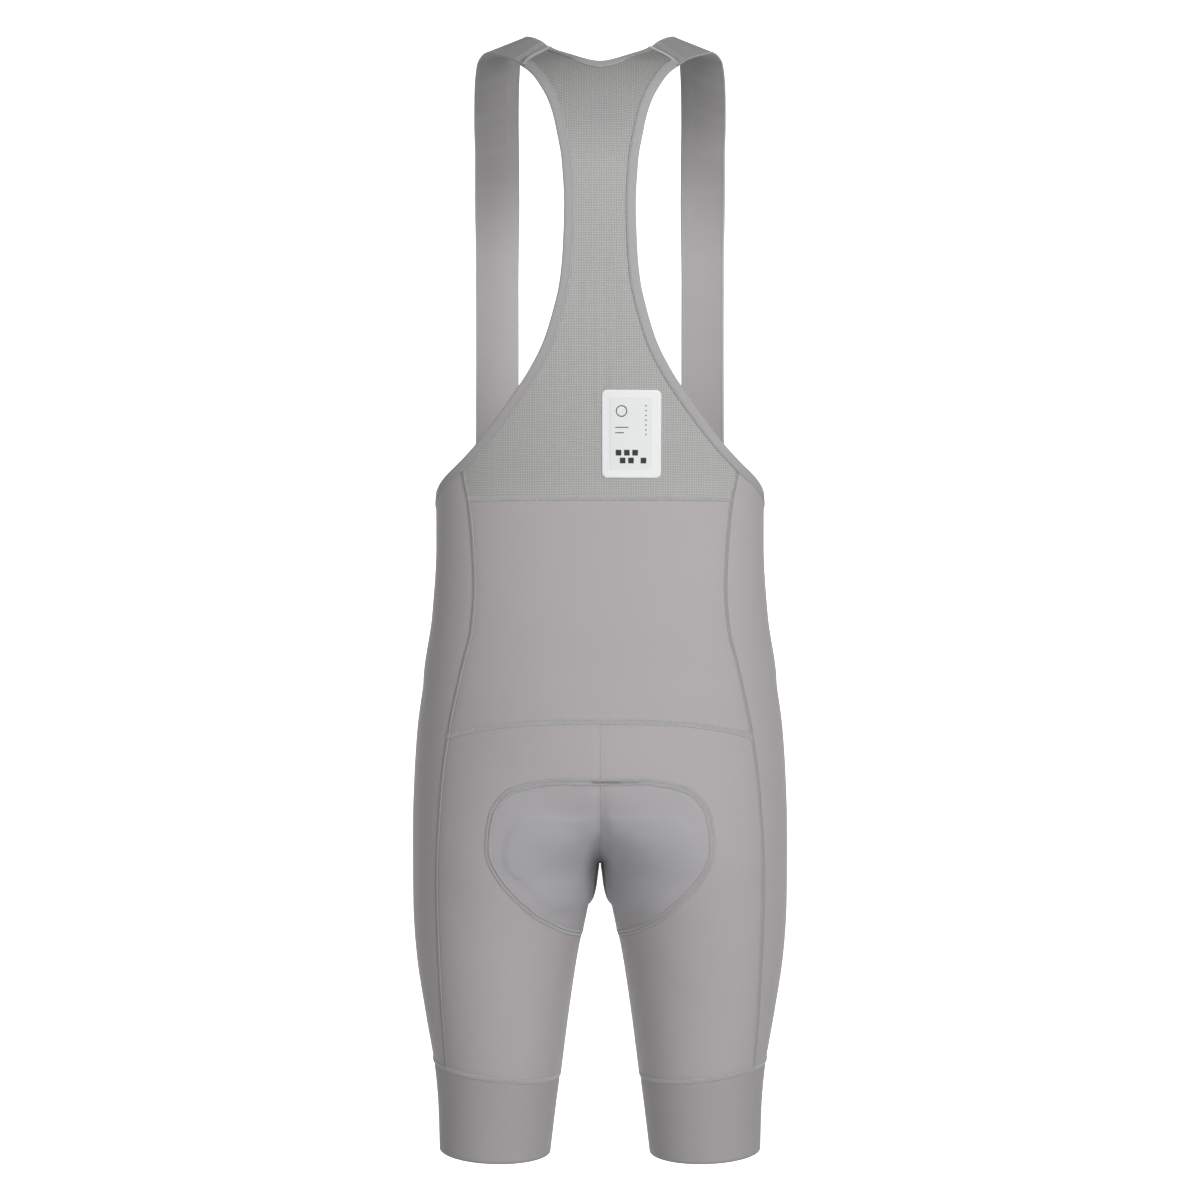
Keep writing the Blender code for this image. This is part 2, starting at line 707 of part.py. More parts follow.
def add_net_panel(side_levels, armhole, neck):
    """The upper back, from the waist seam to the shoulders, with bound armholes and neckline.
    Its rows end at the points of the armhole's line, and the highest ones fan to the neckline."""
    low = side_levels[NET_SIDE_ROWS::-1]
    low = np.stack([seam_x(SIDE_BACK_SEAM, low) - HALF_GAP, 0 * low, low], axis=-1)
    low[0, 2] += HALF_GAP
    share = np.linspace(0, 1, SHOULDER_ROWS + 1)[1:, None]
    edge = np.concatenate([low, armhole[-2::-1], armhole[0] + (neck[-1] - armhole[0]) * share])
    edge_x, edge_z = edge[:, :1], edge[:, 2:]
    fan = np.clip((edge_z - NECKLINE_REACH_Z) / (edge_z[-1] - NECKLINE_REACH_Z), 0, 1)
    across = np.linspace(-1, 1, BACK_COLUMNS + 1)
    neck_z = np.interp(np.abs(across) * neck[-1, 0], neck[:, 0], neck[:, 2])
    points = on_back(edge_x * across, edge_z + fan * (neck_z - neck[-1, 2]))
    wall("back_net_panel", "net", points, inwards(points, CLOTH))


def add_lumbar_panel():
    top = WAIST_SEAM_Z - HALF_GAP
    down = np.linspace(0, 1, LUMBAR_ROWS + 1)[:, None]
    across = np.linspace(-1, 1, BACK_COLUMNS + 1)
    z = top + down * (yoke_z(across * YOKE_REACH) + HALF_GAP - top)
    x = (seam_x(SIDE_BACK_SEAM, z[:, -1:]) - HALF_GAP) * across
    points = on_back(x, z)
    wall("lumbar_panel", "knit", points, inwards(points, CLOTH))


def add_seat_panels():
    """Each back leg panel, from the yoke seam to the gripper and from the centre seam, or below
    the crotch the inner leg, to the side panel."""
    points = patch(
        lambda z: centre_angle(z, 1),
        lambda z: back_seam(z) + half_gap_angle(z),
        lambda x, angle: yoke_z(x) - HALF_GAP,
        lambda x, angle: gripper_seam_z(x) + HALF_GAP,
        leg_levels(np.linspace(YOKE_CENTRE_Z, level_from(), SEAT_ROWS + 1)),
        np.linspace(0, 1, SEAT_COLUMNS + 1) ** SEAT_GATHER,
    )
    leg_piece("seat_panel", points, 1)


def add_side_panels(side_levels, top):
    """Each side panel, from the armhole to the gripper. Its columns start at its top line's points."""
    angles = angle_of(top)
    points = patch(
        lambda z: back_seam(z) - half_gap_angle(z),
        lambda z: front_seam(z) + half_gap_angle(z),
        angle_reading(top),
        lambda x, angle: gripper_seam_z(x) + HALF_GAP,
        leg_levels(side_levels),
        (angles[0] - angles) / (angles[0] - angles[-1]),
    )
    pair("side_panel", "knit", points, inwards(points, CLOTH))


def add_front_panels(side_levels, top):
    """Each front leg panel, from the straps and the bound edges to the gripper and from the side
    panel to the centre seam, or below the crotch the inner leg."""
    angles = angle_of(top)
    points = patch(
        lambda z: front_seam(z) - half_gap_angle(z),
        lambda z: centre_angle(z, -1),
        angle_reading(top),
        lambda x, angle: gripper_seam_z(x) + HALF_GAP,
        leg_levels(moved_top(side_levels, FRONT_SEAM_Z)),
        (angles[0] - angles) / (angles[0] - angles[-1]),
    )
    leg_piece("front_panel", points, -1)


def add_grippers():
    points = patch(
        lambda z: np.full_like(z, -math.pi),
        lambda z: np.full_like(z, math.pi),
        lambda x, angle: gripper_seam_z(x) - HALF_GAP,
        lambda x, angle: hem_z(x),
        np.linspace(GRIPPER_INNER_Z, HEM_INNER_Z, GRIPPER_ROWS + 1),
        np.linspace(0, 1, GRIPPER_COLUMNS + 1),
    )[:, :-1]
    pair("leg_gripper", "gripper", points, inwards(points, GRIPPER_CLOTH), tube=True)


def strap_rows():
    """Inner edge, outer edge and hug of a strap's rows, from the shoulder seam to the front."""
    seam = shoulder(np.array([1.0, 0.0]), -HALF_GAP)
    rows = [(*seam[0], *seam[1], 1.0), *STRAP_OVER_SHOULDER]
    for z in (*STRAP_FRONT_HEIGHTS, FRONT_SEAM_Z + SEAM_GAP):
        rows.append((*on_front(STRAP_FRONT_INNER_X, z), *on_front(STRAP_FRONT_OUTER_X, z), 1.0))
    return np.array(rows)


def add_straps():
    """Each strap, from the shoulder seam over the shoulder and down the chest to the front.
    Returns the points between its two edges at which it is sewn to the front panel."""
    rows = strap_rows()
    knots = np.arange(len(rows))
    at = np.linspace(0, knots[-1], 2 * len(rows) - 1)
    rows = np.stack([through(knots, rows[:, k], at) for k in range(rows.shape[1])], axis=1)
    share = np.linspace(0, 1, STRAP_SPANS + 1)[None, :, None]
    flat = rows[:, None, 0:3] * (1 - share) + rows[:, None, 3:6] * share
    hug = rows[:, None, 6:7]
    points = flat * (1 - hug) + onto_form(flat) * hug
    up = unit(np.cross(np.gradient(points, axis=0), np.gradient(points, axis=1)))
    up = unit(up * (1 - hug) + normals(points) * hug)
    pair("shoulder_strap", "elastic", points, points - up * STRAP_CLOTH)
    return points[-1, -2:0:-1] - (0.0, 0.0, SEAM_GAP)


def add_bindings(armhole_free, armhole, neck_free, neck, front_free, front):
    pair("armhole_binding", "binding", *binding_faces(armhole_free, armhole))
    wall("neck_binding", "binding", *binding_faces(whole(neck_free), whole(neck)))
    wall("front_binding", "binding", *binding_faces(whole(front_free), whole(front)))


def centre_line(depth):
    """Heights and angles along the centre seam, evenly from the pad's back edge to its front."""
    crotch = crotch_z(depth)
    bend = np.linspace(0, 1, CENTRE_STEPS)
    parts = []
    for side, end in ((1, PAD_TOP_Z), (-1, PAD_FRONT_Z)):
        z = crotch + (end - crotch) * bend**2
        parts.append(np.stack([0 * z, side_y(0 * z, z, side, depth), z], axis=1))
    line = np.concatenate([parts[0][:0:-1], [[0.0, 0.0, crotch]], parts[1][1:]])
    along = lengths_along(line)
    angle = np.arctan2(line[:, 1], -middle_x(line[:, 2])) % (2 * math.pi)
    return along / along[-1], angle, line[:, 2]


def add_pad():
    """The seat pad, sewn inside the crotch, thick at its middle and thin at its edge."""
    depth = CLOTH + PAD_CLEAR
    along, turn, edge_z, thick = np.array(PAD).T
    centre_along, centre_turn, centre_z = centre_line(depth)
    out = np.linspace(0, 1, PAD_HALF_COLUMNS + 1)[None, :] ** PAD_GATHER
    start_turn = np.interp(along, centre_along, centre_turn)[:, None]
    start_z = np.interp(along, centre_along, centre_z)[:, None]
    angle = start_turn * (1 - out) + np.radians(turn)[:, None] * out
    z = start_z * (1 - out) + edge_z[:, None] * out
    x, y = ring(z, angle, depth)
    x[:, 0] = 0.0
    half = np.stack([x, y, z], axis=-1)
    up = normals(half)
    up[:, 0, 0] = 0.0
    height = PAD_EDGE_THICK + (thick[:, None] - PAD_EDGE_THICK) * (1 - out**PAD_DOME)
    inner = half - unit(up) * height[..., None]
    mirror = np.array([-1.0, 1.0, 1.0])
    faces = [np.concatenate([face[:, :0:-1] * mirror, face], axis=1) for face in (half, inner)]
    wall("chamois_pad", "pad", *faces)


def add_label():
    """A patch with rounded corners, stuck to the outside of the net panel."""
    turn = np.linspace(0, math.pi / 2, CORNER_STEPS + 1)
    half_z = LABEL_HALF_HEIGHT - LABEL_CORNER * (1 - np.cos(turn))
    half_x = LABEL_HALF_WIDTH - LABEL_CORNER * (1 - np.sin(turn))
    straight = half_z[-1] * np.linspace(1, -1, LABEL_ROWS + 1)[1:-1]
    rows_z = LABEL_Z + np.concatenate([half_z, straight, -half_z[::-1]])
    rows_x = np.concatenate([half_x, LABEL_HALF_WIDTH + 0 * straight, half_x[::-1]])
    x = LABEL_X + rows_x[:, None] * np.linspace(-1, 1, LABEL_SPANS + 1)
    z = rows_z[:, None] + 0 * x
    points = on_back(x, z)
    up = normals(points)
    wall("label_patch", "label", points + up * (LABEL_OFF + LABEL_THICK), points + up * LABEL_OFF)


for old in list(bpy.data.objects):
    bpy.data.objects.remove(old, do_unlink=True)
garment = bpy.data.collections.new("bib_shorts")
bpy.context.scene.collection.children.link(garment)

armhole_free, armhole = armhole_lines()
neck_free, neck = neck_lines()
front_free, front = front_lines()
back_armhole, rest = split(armhole, lambda line: angle_of(line) - back_seam(line[:, 2]))
side_top, front_armhole = split(rest, lambda line: angle_of(line) - front_seam(line[:, 2]))
strap_foot = add_straps()
front_top = np.concatenate([front_armhole, strap_foot, front[::-1]])
side_levels = back_seam_levels(side_top[0, 2])

add_net_panel(side_levels, back_armhole, neck)
add_lumbar_panel()
add_seat_panels()
add_side_panels(side_levels, side_top)
add_front_panels(side_levels, front_top)
add_grippers()
add_bindings(armhole_free, armhole, neck_free, neck, front_free, front)
add_pad()
add_label()
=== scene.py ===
"""Cycling bib shorts, worn and hollow: the finished cloth, its seams and the studio.

Metres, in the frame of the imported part: +Z up, the garment faces -Y and +X is the wearer's left.
The pieces lie on the same form as the part's solids, the outer face of the worn garment, in a
finer grid, with the relief of the seat pad, soft creases and sewn seams added to it.
"""

import math

import bmesh
import bpy
import numpy as np
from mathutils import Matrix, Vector
from mathutils.kdtree import KDTree


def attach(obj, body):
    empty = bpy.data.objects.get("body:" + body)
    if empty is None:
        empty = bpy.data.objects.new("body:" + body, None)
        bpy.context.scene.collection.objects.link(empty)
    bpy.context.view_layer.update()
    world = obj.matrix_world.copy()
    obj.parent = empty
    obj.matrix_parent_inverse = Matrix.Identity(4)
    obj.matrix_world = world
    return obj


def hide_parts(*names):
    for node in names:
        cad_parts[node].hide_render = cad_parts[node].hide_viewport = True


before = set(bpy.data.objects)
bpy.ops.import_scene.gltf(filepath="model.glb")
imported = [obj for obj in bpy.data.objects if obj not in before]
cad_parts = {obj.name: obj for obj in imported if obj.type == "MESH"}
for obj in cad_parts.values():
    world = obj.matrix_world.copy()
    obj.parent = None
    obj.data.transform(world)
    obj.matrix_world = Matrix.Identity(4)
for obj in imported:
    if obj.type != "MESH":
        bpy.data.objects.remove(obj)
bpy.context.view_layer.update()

# ---- the garment's sizes

CLOTH = 0.0012
STRAP_CLOTH = 0.0016
GRIPPER_CLOTH = 0.0016
SEAM_GAP = 0.0003
HALF_GAP = SEAM_GAP / 2
BINDING_WIDTH = 0.0085
NECK_BINDING_WIDTH = 0.007
BINDING_HALF = 0.0011  # half of a folded binding's thickness
BINDING_TURN = 0.02  # over this length a binding's width swings round to follow its end seam
TUCK = 0.35  # how far a panel's edge reaches into the folded binding, as a share of its width
WAIST_SEAM_Z = -0.401
YOKE_CENTRE_Z = -0.588
YOKE_DROP = 0.0145
YOKE_REACH = 0.129
GRIPPER_INNER_Z = -0.902
GRIPPER_RISE = 0.12
HEM_INNER_Z = -0.9715
HEM_RISE = 0.037
LEG_INNER_X = 0.035
NECKLINE_CENTRE_Z = -0.031
NECKLINE_BEND = 1.75  # how slowly the neckline rises near its centre
NECKLINE_REACH_Z = -0.12  # below this height the net's rows are level
FRONT_TOP_Z = -0.45
FRONT_DIP = 0.05
FRONT_SEAM_Z = FRONT_TOP_Z - BINDING_WIDTH
STRAP_FRONT_INNER_X = 0.0755
STRAP_FRONT_OUTER_X = 0.114

# The worn garment's outer face, one row for each level section of its left half. Columns: z; x of
# the half's outer and inner side, which above the legs lies past the centre plane, so the two
# halves run together; y of the rearmost and foremost point; exponent of the rounded section; and
# the width over which the halves are smoothed.
FORM = (
    (0.004, 0.075, -0.075, 0.012, -0.03, 2.2, 0),
    (-0.008, 0.085, -0.085, 0.0325, -0.048, 2.2, 0),
    (-0.03, 0.1, -0.1, 0.0745, -0.068, 2.2, 0),
    (-0.06, 0.122, -0.122, 0.09, -0.082, 2.25, 0),
    (-0.1, 0.14, -0.14, 0.099, -0.093, 2.3, 0),
    (-0.15, 0.15, -0.15, 0.105, -0.1015, 2.3, 0),
    (-0.2, 0.155, -0.155, 0.1065, -0.107, 2.3, 0),
    (-0.25, 0.155, -0.155, 0.103, -0.109, 2.3, 0),
    (-0.3, 0.1515, -0.1515, 0.096, -0.108, 2.3, 0),
    (-0.35, 0.147, -0.147, 0.086, -0.1055, 2.3, 0),
    (-0.4, 0.144, -0.144, 0.0785, -0.1025, 2.3, 0),
    (-0.44, 0.1439, -0.1439, 0.079, -0.1015, 2.3, 0),
    (-0.5, 0.1474, -0.1474, 0.09, -0.102, 2.3, 0),
    (-0.56, 0.155, -0.155, 0.108, -0.101, 2.28, 0),
    (-0.6, 0.1602, -0.1352, 0.116, -0.099, 2.25, 0.02),
    (-0.64, 0.1627, -0.095, 0.119, -0.0965, 2.22, 0.03),
    (-0.68, 0.164, -0.045, 0.115, -0.0935, 2.18, 0.024),
    (-0.7, 0.1641, -0.015, 0.1103, -0.0914, 2.15, 0.012),
    (-0.712, 0.1641, -0.0032, 0.107, -0.09, 2.12, 0.004),
    (-0.72, 0.1641, 0.0006, 0.1048, -0.0891, 2.1, 0.001),
    (-0.729, 0.1641, 0.0022, 0.1022, -0.0881, 2.09, 0.001),
    (-0.738, 0.164, 0.0037, 0.0995, -0.0872, 2.08, 0.001),
    (-0.747, 0.1639, 0.0064, 0.0968, -0.0863, 2.07, 0.001),
    (-0.754, 0.1638, 0.0106, 0.0948, -0.0856, 2.06, 0.001),
    (-0.769, 0.1632, 0.0142, 0.0905, -0.084, 2.05, 0.001),
    (-0.8, 0.1606, 0.0205, 0.083, -0.08, 2.05, 0.001),
    (-0.85, 0.1529, 0.028, 0.072, -0.073, 2.05, 0.001),
    (-0.9, 0.1446, 0.0345, 0.063, -0.0655, 2.05, 0.001),
    (-0.93, 0.1421, 0.0385, 0.0585, -0.0615, 2.05, 0.001),
    (-0.98, 0.1406, 0.0445, 0.053, -0.056, 2.05, 0.001),
)

# Seams of the side panels, on the back and on the front of the form. Columns: z, x.
SIDE_BACK_SEAM = (
    (-0.36, 0.119), (-0.382, 0.117), (-0.401, 0.113), (-0.438, 0.109), (-0.478, 0.107),
    (-0.512, 0.1093), (-0.54, 0.1158), (-0.586, 0.1258), (-0.604, 0.1288), (-0.637, 0.1331),
    (-0.675, 0.136), (-0.708, 0.1377), (-0.742, 0.1383), (-0.791, 0.1373), (-0.841, 0.1354),
    (-0.91, 0.131),
)
SIDE_FRONT_SEAM = (
    (-0.42, 0.1275), (-0.48, 0.1255), (-0.54, 0.128), (-0.6, 0.134), (-0.66, 0.1385),
    (-0.72, 0.14), (-0.78, 0.139), (-0.84, 0.1355), (-0.91, 0.131),
)

# The shoulder seam, which joins a strap to the back: its ends at the armhole and at the neck.
SHOULDER_OUTER = (0.0655, 0.06, -0.0335)
SHOULDER_INNER = (0.043, 0.029, -0.005)

# Free edge of the armhole, from just below the shoulder seam down the back and round the side
# to the front. Each point is moved onto the form. Columns: x, y, z.
ARMHOLE = (
    (0.057, 0.07, -0.043), (0.0495, 0.078, -0.055), (0.044, 0.084, -0.066),
    (0.0394, 0.09, -0.08), (0.036, 0.094, -0.096), (0.032, 0.099, -0.12),
    (0.03, 0.104, -0.158), (0.0312, 0.105, -0.196), (0.0337, 0.104, -0.221),
    (0.0392, 0.101, -0.245), (0.0472, 0.097, -0.27), (0.0595, 0.09, -0.294),
    (0.0735, 0.082, -0.3145), (0.09, 0.072, -0.3365), (0.1045, 0.062, -0.354),
    (0.117, 0.051, -0.367), (0.129, 0.035, -0.379), (0.1375, 0.02, -0.3885),
    (0.143, -0.005, -0.4), (0.1405, -0.032, -0.415), (0.1335, -0.05, -0.429),
    (0.1245, -0.061, -0.441), (0.1143, -0.0691, -0.45),
)

# A shoulder strap, from the shoulder seam over the shoulder to the chest. Columns: x, y and z of
# its inner edge, x, y and z of its outer edge, and how closely that row lies on the form, from 0,
# free of it, to 1, on it.
STRAP_OVER_SHOULDER = (
    (0.0505, 0.019, 0.0002, 0.0745, 0.045, -0.0225, 0),
    (0.06, 0.008, 0.0066, 0.088, 0.024, -0.013, 0),
    (0.066, -0.006, 0.0098, 0.101, 0.006, -0.0072, 0),
    (0.0695, -0.022, 0.0062, 0.1085, -0.011, -0.0108, 0),
    (0.072, -0.04, -0.006, 0.112, -0.027, -0.025, 0),
    (0.0738, -0.059, -0.024, 0.1134, -0.041, -0.042, 0),
    (0.0748, -0.076, -0.051, 0.114, -0.052, -0.064, 0),
    (0.0752, -0.085, -0.088, 0.114, -0.06, -0.095, 0.4),
    (0.0755, -0.093, -0.135, 0.114, -0.07, -0.137, 1),
)
STRAP_FRONT_HEIGHTS = (-0.19, -0.25, -0.31, -0.37, -0.42)

# The seat pad, row by row along the centre seam from its back edge, under the crotch, to its
# front edge. Columns: distance down the centre seam, as a share of its length; the edge's angle
# in degrees round the half's middle, 90 at the back, 180 at the inner leg and 270 at the front;
# the edge's height; and the pad's thickness at its middle.
PAD = (
    (0, 86.5, -0.637, 0.0024), (0.02, 78.5, -0.6402, 0.003), (0.05, 71, -0.648, 0.0045),
    (0.09, 69.8, -0.66, 0.0065), (0.135, 72.2, -0.675, 0.0085), (0.19, 78.2, -0.694, 0.0095),
    (0.245, 86.6, -0.713, 0.0095), (0.3, 94.9, -0.731, 0.009), (0.355, 104.9, -0.746, 0.0085),
    (0.41, 120.5, -0.76, 0.008), (0.46, 143, -0.7715, 0.0075), (0.51, 180, -0.7785, 0.007),
    (0.56, 208, -0.772, 0.0065), (0.62, 227, -0.757, 0.006), (0.69, 238, -0.737, 0.0055),
    (0.76, 244, -0.715, 0.005), (0.83, 249.7, -0.693, 0.0045), (0.9, 258.5, -0.67, 0.004),
    (0.955, 263.2, -0.65, 0.0032), (1, 261.5, -0.636, 0.0024),
)
PAD_TOP_Z = -0.637  # its back edge on the centre seam
PAD_FRONT_Z = -0.628  # and its front edge
PAD_EDGE_THICK = 0.0018
PAD_DOME = 2.4  # exponent with which it thins towards its edge

BISECTIONS = 30
SETTLINGS = 8  # in which a point reaches the form
WALK_STEPS = 4
CENTRE_STEPS = 60
PASSES = 6  # in which rows settle on a bent seam
CROTCH_BETWEEN = (-0.75, -0.69)
LEAST_BLEND = 1e-6
NORMAL_STEP = 0.0002
FAR = 0.3  # further out than any section
TINY = 1e-9
DOWN = (0.0, 0.0, -1.0)
EDGE_STEP = 0.003
NECK_SPANS = 30
FRONT_SPANS = 40
# The rows of a leg panel: their step above the crotch, and how far above and below the crotch
# they gather, in how many rows and with which exponent.
PANEL_STEP = 0.0026
NEAR_CROTCH, NEAR_ROWS, NEAR_GATHER = 0.045, 26, 2
BELOW_CROTCH, BELOW_ROWS, BELOW_GATHER = 0.049, 16, 1.5
LEG_ROWS = 54


# ---- curves


def through(knots, values, at):
    """A smooth curve through (knots, values) that never swings past them, read at the places at."""
    knots, values, at = (np.asarray(a, float) for a in (knots, values, at))
    if knots[0] > knots[-1]:
        knots, values = knots[::-1], values[::-1]
    step = np.diff(knots)
    rise = np.diff(values) / step
    slope = np.zeros(len(knots))
    slope[0], slope[-1] = rise[0], rise[-1]
    same = rise[:-1] * rise[1:] > 0
    before, after = np.where(same, rise[:-1], 1.0), np.where(same, rise[1:], 1.0)
    slope[1:-1] = np.where(same, 2 * before * after / (before + after), 0.0)
    at = np.clip(at, knots[0], knots[-1])
    k = np.clip(np.searchsorted(knots, at) - 1, 0, len(step) - 1)
    t = (at - knots[k]) / step[k]
    return (
        values[k] * (1 + 2 * t) * (1 - t) ** 2
        + values[k + 1] * t**2 * (3 - 2 * t)
        + step[k] * t * (1 - t) * (slope[k] * (1 - t) - slope[k + 1] * t)
    )


def columns_at(table, at):
    """Every column of a table, each as a smooth curve over the rows, read at places."""
    table = np.array(table, float)
    return [through(np.arange(len(table)), values, at) for values in table.T]


def unit(vectors):
    return vectors / np.maximum(np.linalg.norm(vectors, axis=-1, keepdims=True), TINY)


def lengths_along(points, axis=0):
    """Distances along a line of points, or down (axis 0) or across (axis 1) a grid of them."""
    steps = np.linalg.norm(np.diff(points, axis=axis), axis=-1)
    return np.insert(np.cumsum(steps, axis=axis), 0, 0.0, axis=axis)


def route(points, step):
    """Points about step apart, evenly spaced along a smooth curve through the given ones."""
    points = np.asarray(points, float)
    along = lengths_along(points)
    at = np.linspace(0, along[-1], max(2, round(along[-1] / step)) + 1)
    return np.stack([through(along, values, at) for values in points.T], axis=1)


def headings(line):
    return unit(np.gradient(line, axis=0))


# ---- the form


def section(z):
    """A half's section at height z: its middle, half width, back and front depth, and roundness."""
    heights, *columns = np.array(FORM).T
    outer, inner, back, front, square, blend = (through(heights, values, z) for values in columns)
    return (outer + inner) / 2, (outer - inner) / 2, back, -front, square, np.maximum(blend, LEAST_BLEND)


def middle_x(z):
    return section(z)[0]


def half_field(cut, x, y):
    """Distance of a point outside (+) or inside (-) one half's section."""
    middle, width, back, front, square, _ = cut
    depth = np.where(y > 0, back, front)
    scaled = (np.abs((x - middle) / width) ** square + np.abs(y / depth) ** square) ** (1 / square)
    return np.hypot(x - middle, y) * (1 - 1 / np.maximum(scaled, TINY))


def field_in(cut, x, y):
    """The same for the whole garment, whose two halves run smoothly together."""
    left, right = half_field(cut, x, y), half_field(cut, -x, y)
    blend = cut[5]
    overlap = np.maximum(blend - np.abs(left - right), 0) / blend
    return np.minimum(left, right) - overlap**2 * blend / 4


def field(points):
    x, y, z = np.moveaxis(np.asarray(points, float), -1, 0)
    return field_in(section(z), x, y)


def crossing(low, high, value):
    """The place between low and high at which value turns from negative to positive."""
    for _ in range(BISECTIONS):
        half = (low + high) / 2
        out = value(half) > 0
        low, high = np.where(out, low, half), np.where(out, half, high)
    return (low + high) / 2


def ring(z, angle, depth=0.0):
    """x and y at height z of the face that lies depth inside the form, at an angle round the
    half's middle: 0 is outwards, 90 degrees back, 180 inwards. It stops at the centre plane."""
    cut = section(z)
    cos, sin = np.cos(angle), np.sin(angle)
    plane = np.where(cos < 0, cut[0] / np.maximum(-cos, TINY), FAR)
    far = np.minimum(plane, FAR)
    away = crossing(0 * far, far, lambda r: field_in(cut, cut[0] + r * cos, r * sin) + depth)
    return cut[0] + away * cos, away * sin


def side_y(x, z, side, depth=0.0):
    """y of that face at x and z, on its back (side +1) or its front (side -1)."""
    x, z = np.broadcast_arrays(np.asarray(x, float), np.asarray(z, float))
    cut = section(z)
    far = np.full_like(x, FAR)
    return side * crossing(0 * far, far, lambda y: field_in(cut, x, side * y) + depth)


def on_side(x, z, side=1):
    """Points of the form's back (side +1) or its front (side -1)."""
    return np.stack(np.broadcast_arrays(x, side_y(x, z, side), z), axis=-1)


def centre_angle(z, side, depth=0.0):
    """The angle at which a half's section ends: on the centre plane or at the inner leg."""
    zero = np.zeros_like(z)
    whole = field_in(section(z), zero, zero) + depth < 0
    y = np.where(whole, np.abs(side_y(zero, z, side, depth)), 0.0)
    return side * np.where(whole, np.arctan2(y, -middle_x(z)), math.pi)


def seam_x(seam, z):
    return through(*np.array(seam).T, z)


def seam_angle(seam, z, side):
    x = seam_x(seam, z)
    return np.arctan2(side_y(x, z, side), x - middle_x(z))


def back_seam(z):
    return seam_angle(SIDE_BACK_SEAM, z, 1)


def front_seam(z):
    return seam_angle(SIDE_FRONT_SEAM, z, -1)


def crotch_z(depth=0.0):
    """The height at which the two legs part."""
    below, above = CROTCH_BETWEEN
    return above - crossing(0.0, above - below, lambda d: field_in(section(above - d), 0.0, 0.0) + depth)


def gradient(points):
    shifts = np.eye(3) * NORMAL_STEP
    ahead = [field(points + shift) - field(points - shift) for shift in shifts]
    return np.stack(ahead, axis=-1) / (2 * NORMAL_STEP)


def normals(points):
    return unit(gradient(points))


def sideways(line):
    """Unit vectors over the form, square to a line on it."""
    return unit(np.cross(normals(line), headings(line)))


def onto_form(points):
    """Points moved onto the form, straight towards it."""
    points = np.array(points, float)
    for _ in range(SETTLINGS):
        slope = gradient(points)
        points = points - slope * (field(points) / (slope**2).sum(-1))[..., None]
    return points


def walk(start, heading, length):
    """The points reached from start by going straight over the form for a length."""
    here = start
    for _ in range(WALK_STEPS):
        up = normals(here)
        heading = unit(heading - up * (heading * up).sum(-1, keepdims=True))
        here = onto_form(here + heading * (length / WALK_STEPS)[..., None])
    return here


def yoke_z(x):
    return YOKE_CENTRE_Z - YOKE_DROP * (np.abs(x) / YOKE_REACH) ** 3


def gripper_seam_z(x):
    return GRIPPER_INNER_Z + GRIPPER_RISE * (x - LEG_INNER_X)


def hem_z(x):
    return HEM_INNER_Z + HEM_RISE * (x - LEG_INNER_X)


def angle_of(points):
    return np.arctan2(points[..., 1], points[..., 0] - middle_x(points[..., 2]))


def angle_reading(line):
    """A line's height as a function of the angle."""
    angles = angle_of(line)
    order = np.argsort(angles)
    return lambda x, angle: np.interp(angle, angles[order], line[order, 2])


def patch(first, last, top, foot, levels, across):
    """Points of the form between two upright seams (angles as functions of z) and two level ones
    (heights as functions of x and the angle), in rows that bend to meet the level seams.
    across: the columns' places, 0 on the first seam to 1 on the last."""
    levels = np.asarray(levels, float)[:, None]
    first_z, last_z = levels[0, 0], levels[-1, 0]
    above, below = crotch_z() + NEAR_CROTCH, crotch_z() - BELOW_CROTCH
    high = above if last_z < above < first_z else last_z
    low = below if last_z < below < first_z else first_z
    bend_top = np.clip((levels - high) / (levels[0] - high), 0, 1)
    bend_foot = np.clip((low - levels) / (low - levels[-1]), 0, 1)
    across = np.asarray(across)[None, :]
    z = levels + 0 * across
    for _ in range(PASSES):
        angle = first(z[:, :1]) * (1 - across) + last(z[:, -1:]) * across
        x, _ = ring(z, angle)
        z = levels + bend_top * (top(x, angle) - levels[0]) + bend_foot * (foot(x, angle) - levels[-1])
    x, y = ring(z, angle)
    return np.stack([x, y, z], axis=-1)


def shoulder(share, shift):
    """Points of the shoulder seam, from the armhole (share 0) to the neck (1), shifted off it,
    towards the back panel (+) or the strap (-)."""
    outer, inner = np.array(SHOULDER_OUTER), np.array(SHOULDER_INNER)
    share = np.asarray(share, float)[..., None]
    points = onto_form(outer * (1 - share) + inner * share)
    return points + shift * unit(np.cross(inner - outer, normals(points)))


def inner_line(free, width, first, last):
    """The line at which a panel ends, a binding's width in from the garment's free edge. At both
    ends the binding's width swings round to the headings first and last."""
    across = sideways(free)
    at = lengths_along(free)
    heading = across
    for end, off in ((first, at), (last, at[-1] - at)):
        share = np.clip(1 - off / BINDING_TURN, 0, 1)[:, None]
        end = np.array(end) / (across * end).sum(-1, keepdims=True)
        heading = heading * (1 - share) + end * share
    return walk(free, heading, width * np.linalg.norm(heading, axis=1))


def neck_rise(share):
    """How far the neckline has risen from its centre, 0, to the shoulder seam, 1."""
    return share**NECKLINE_BEND


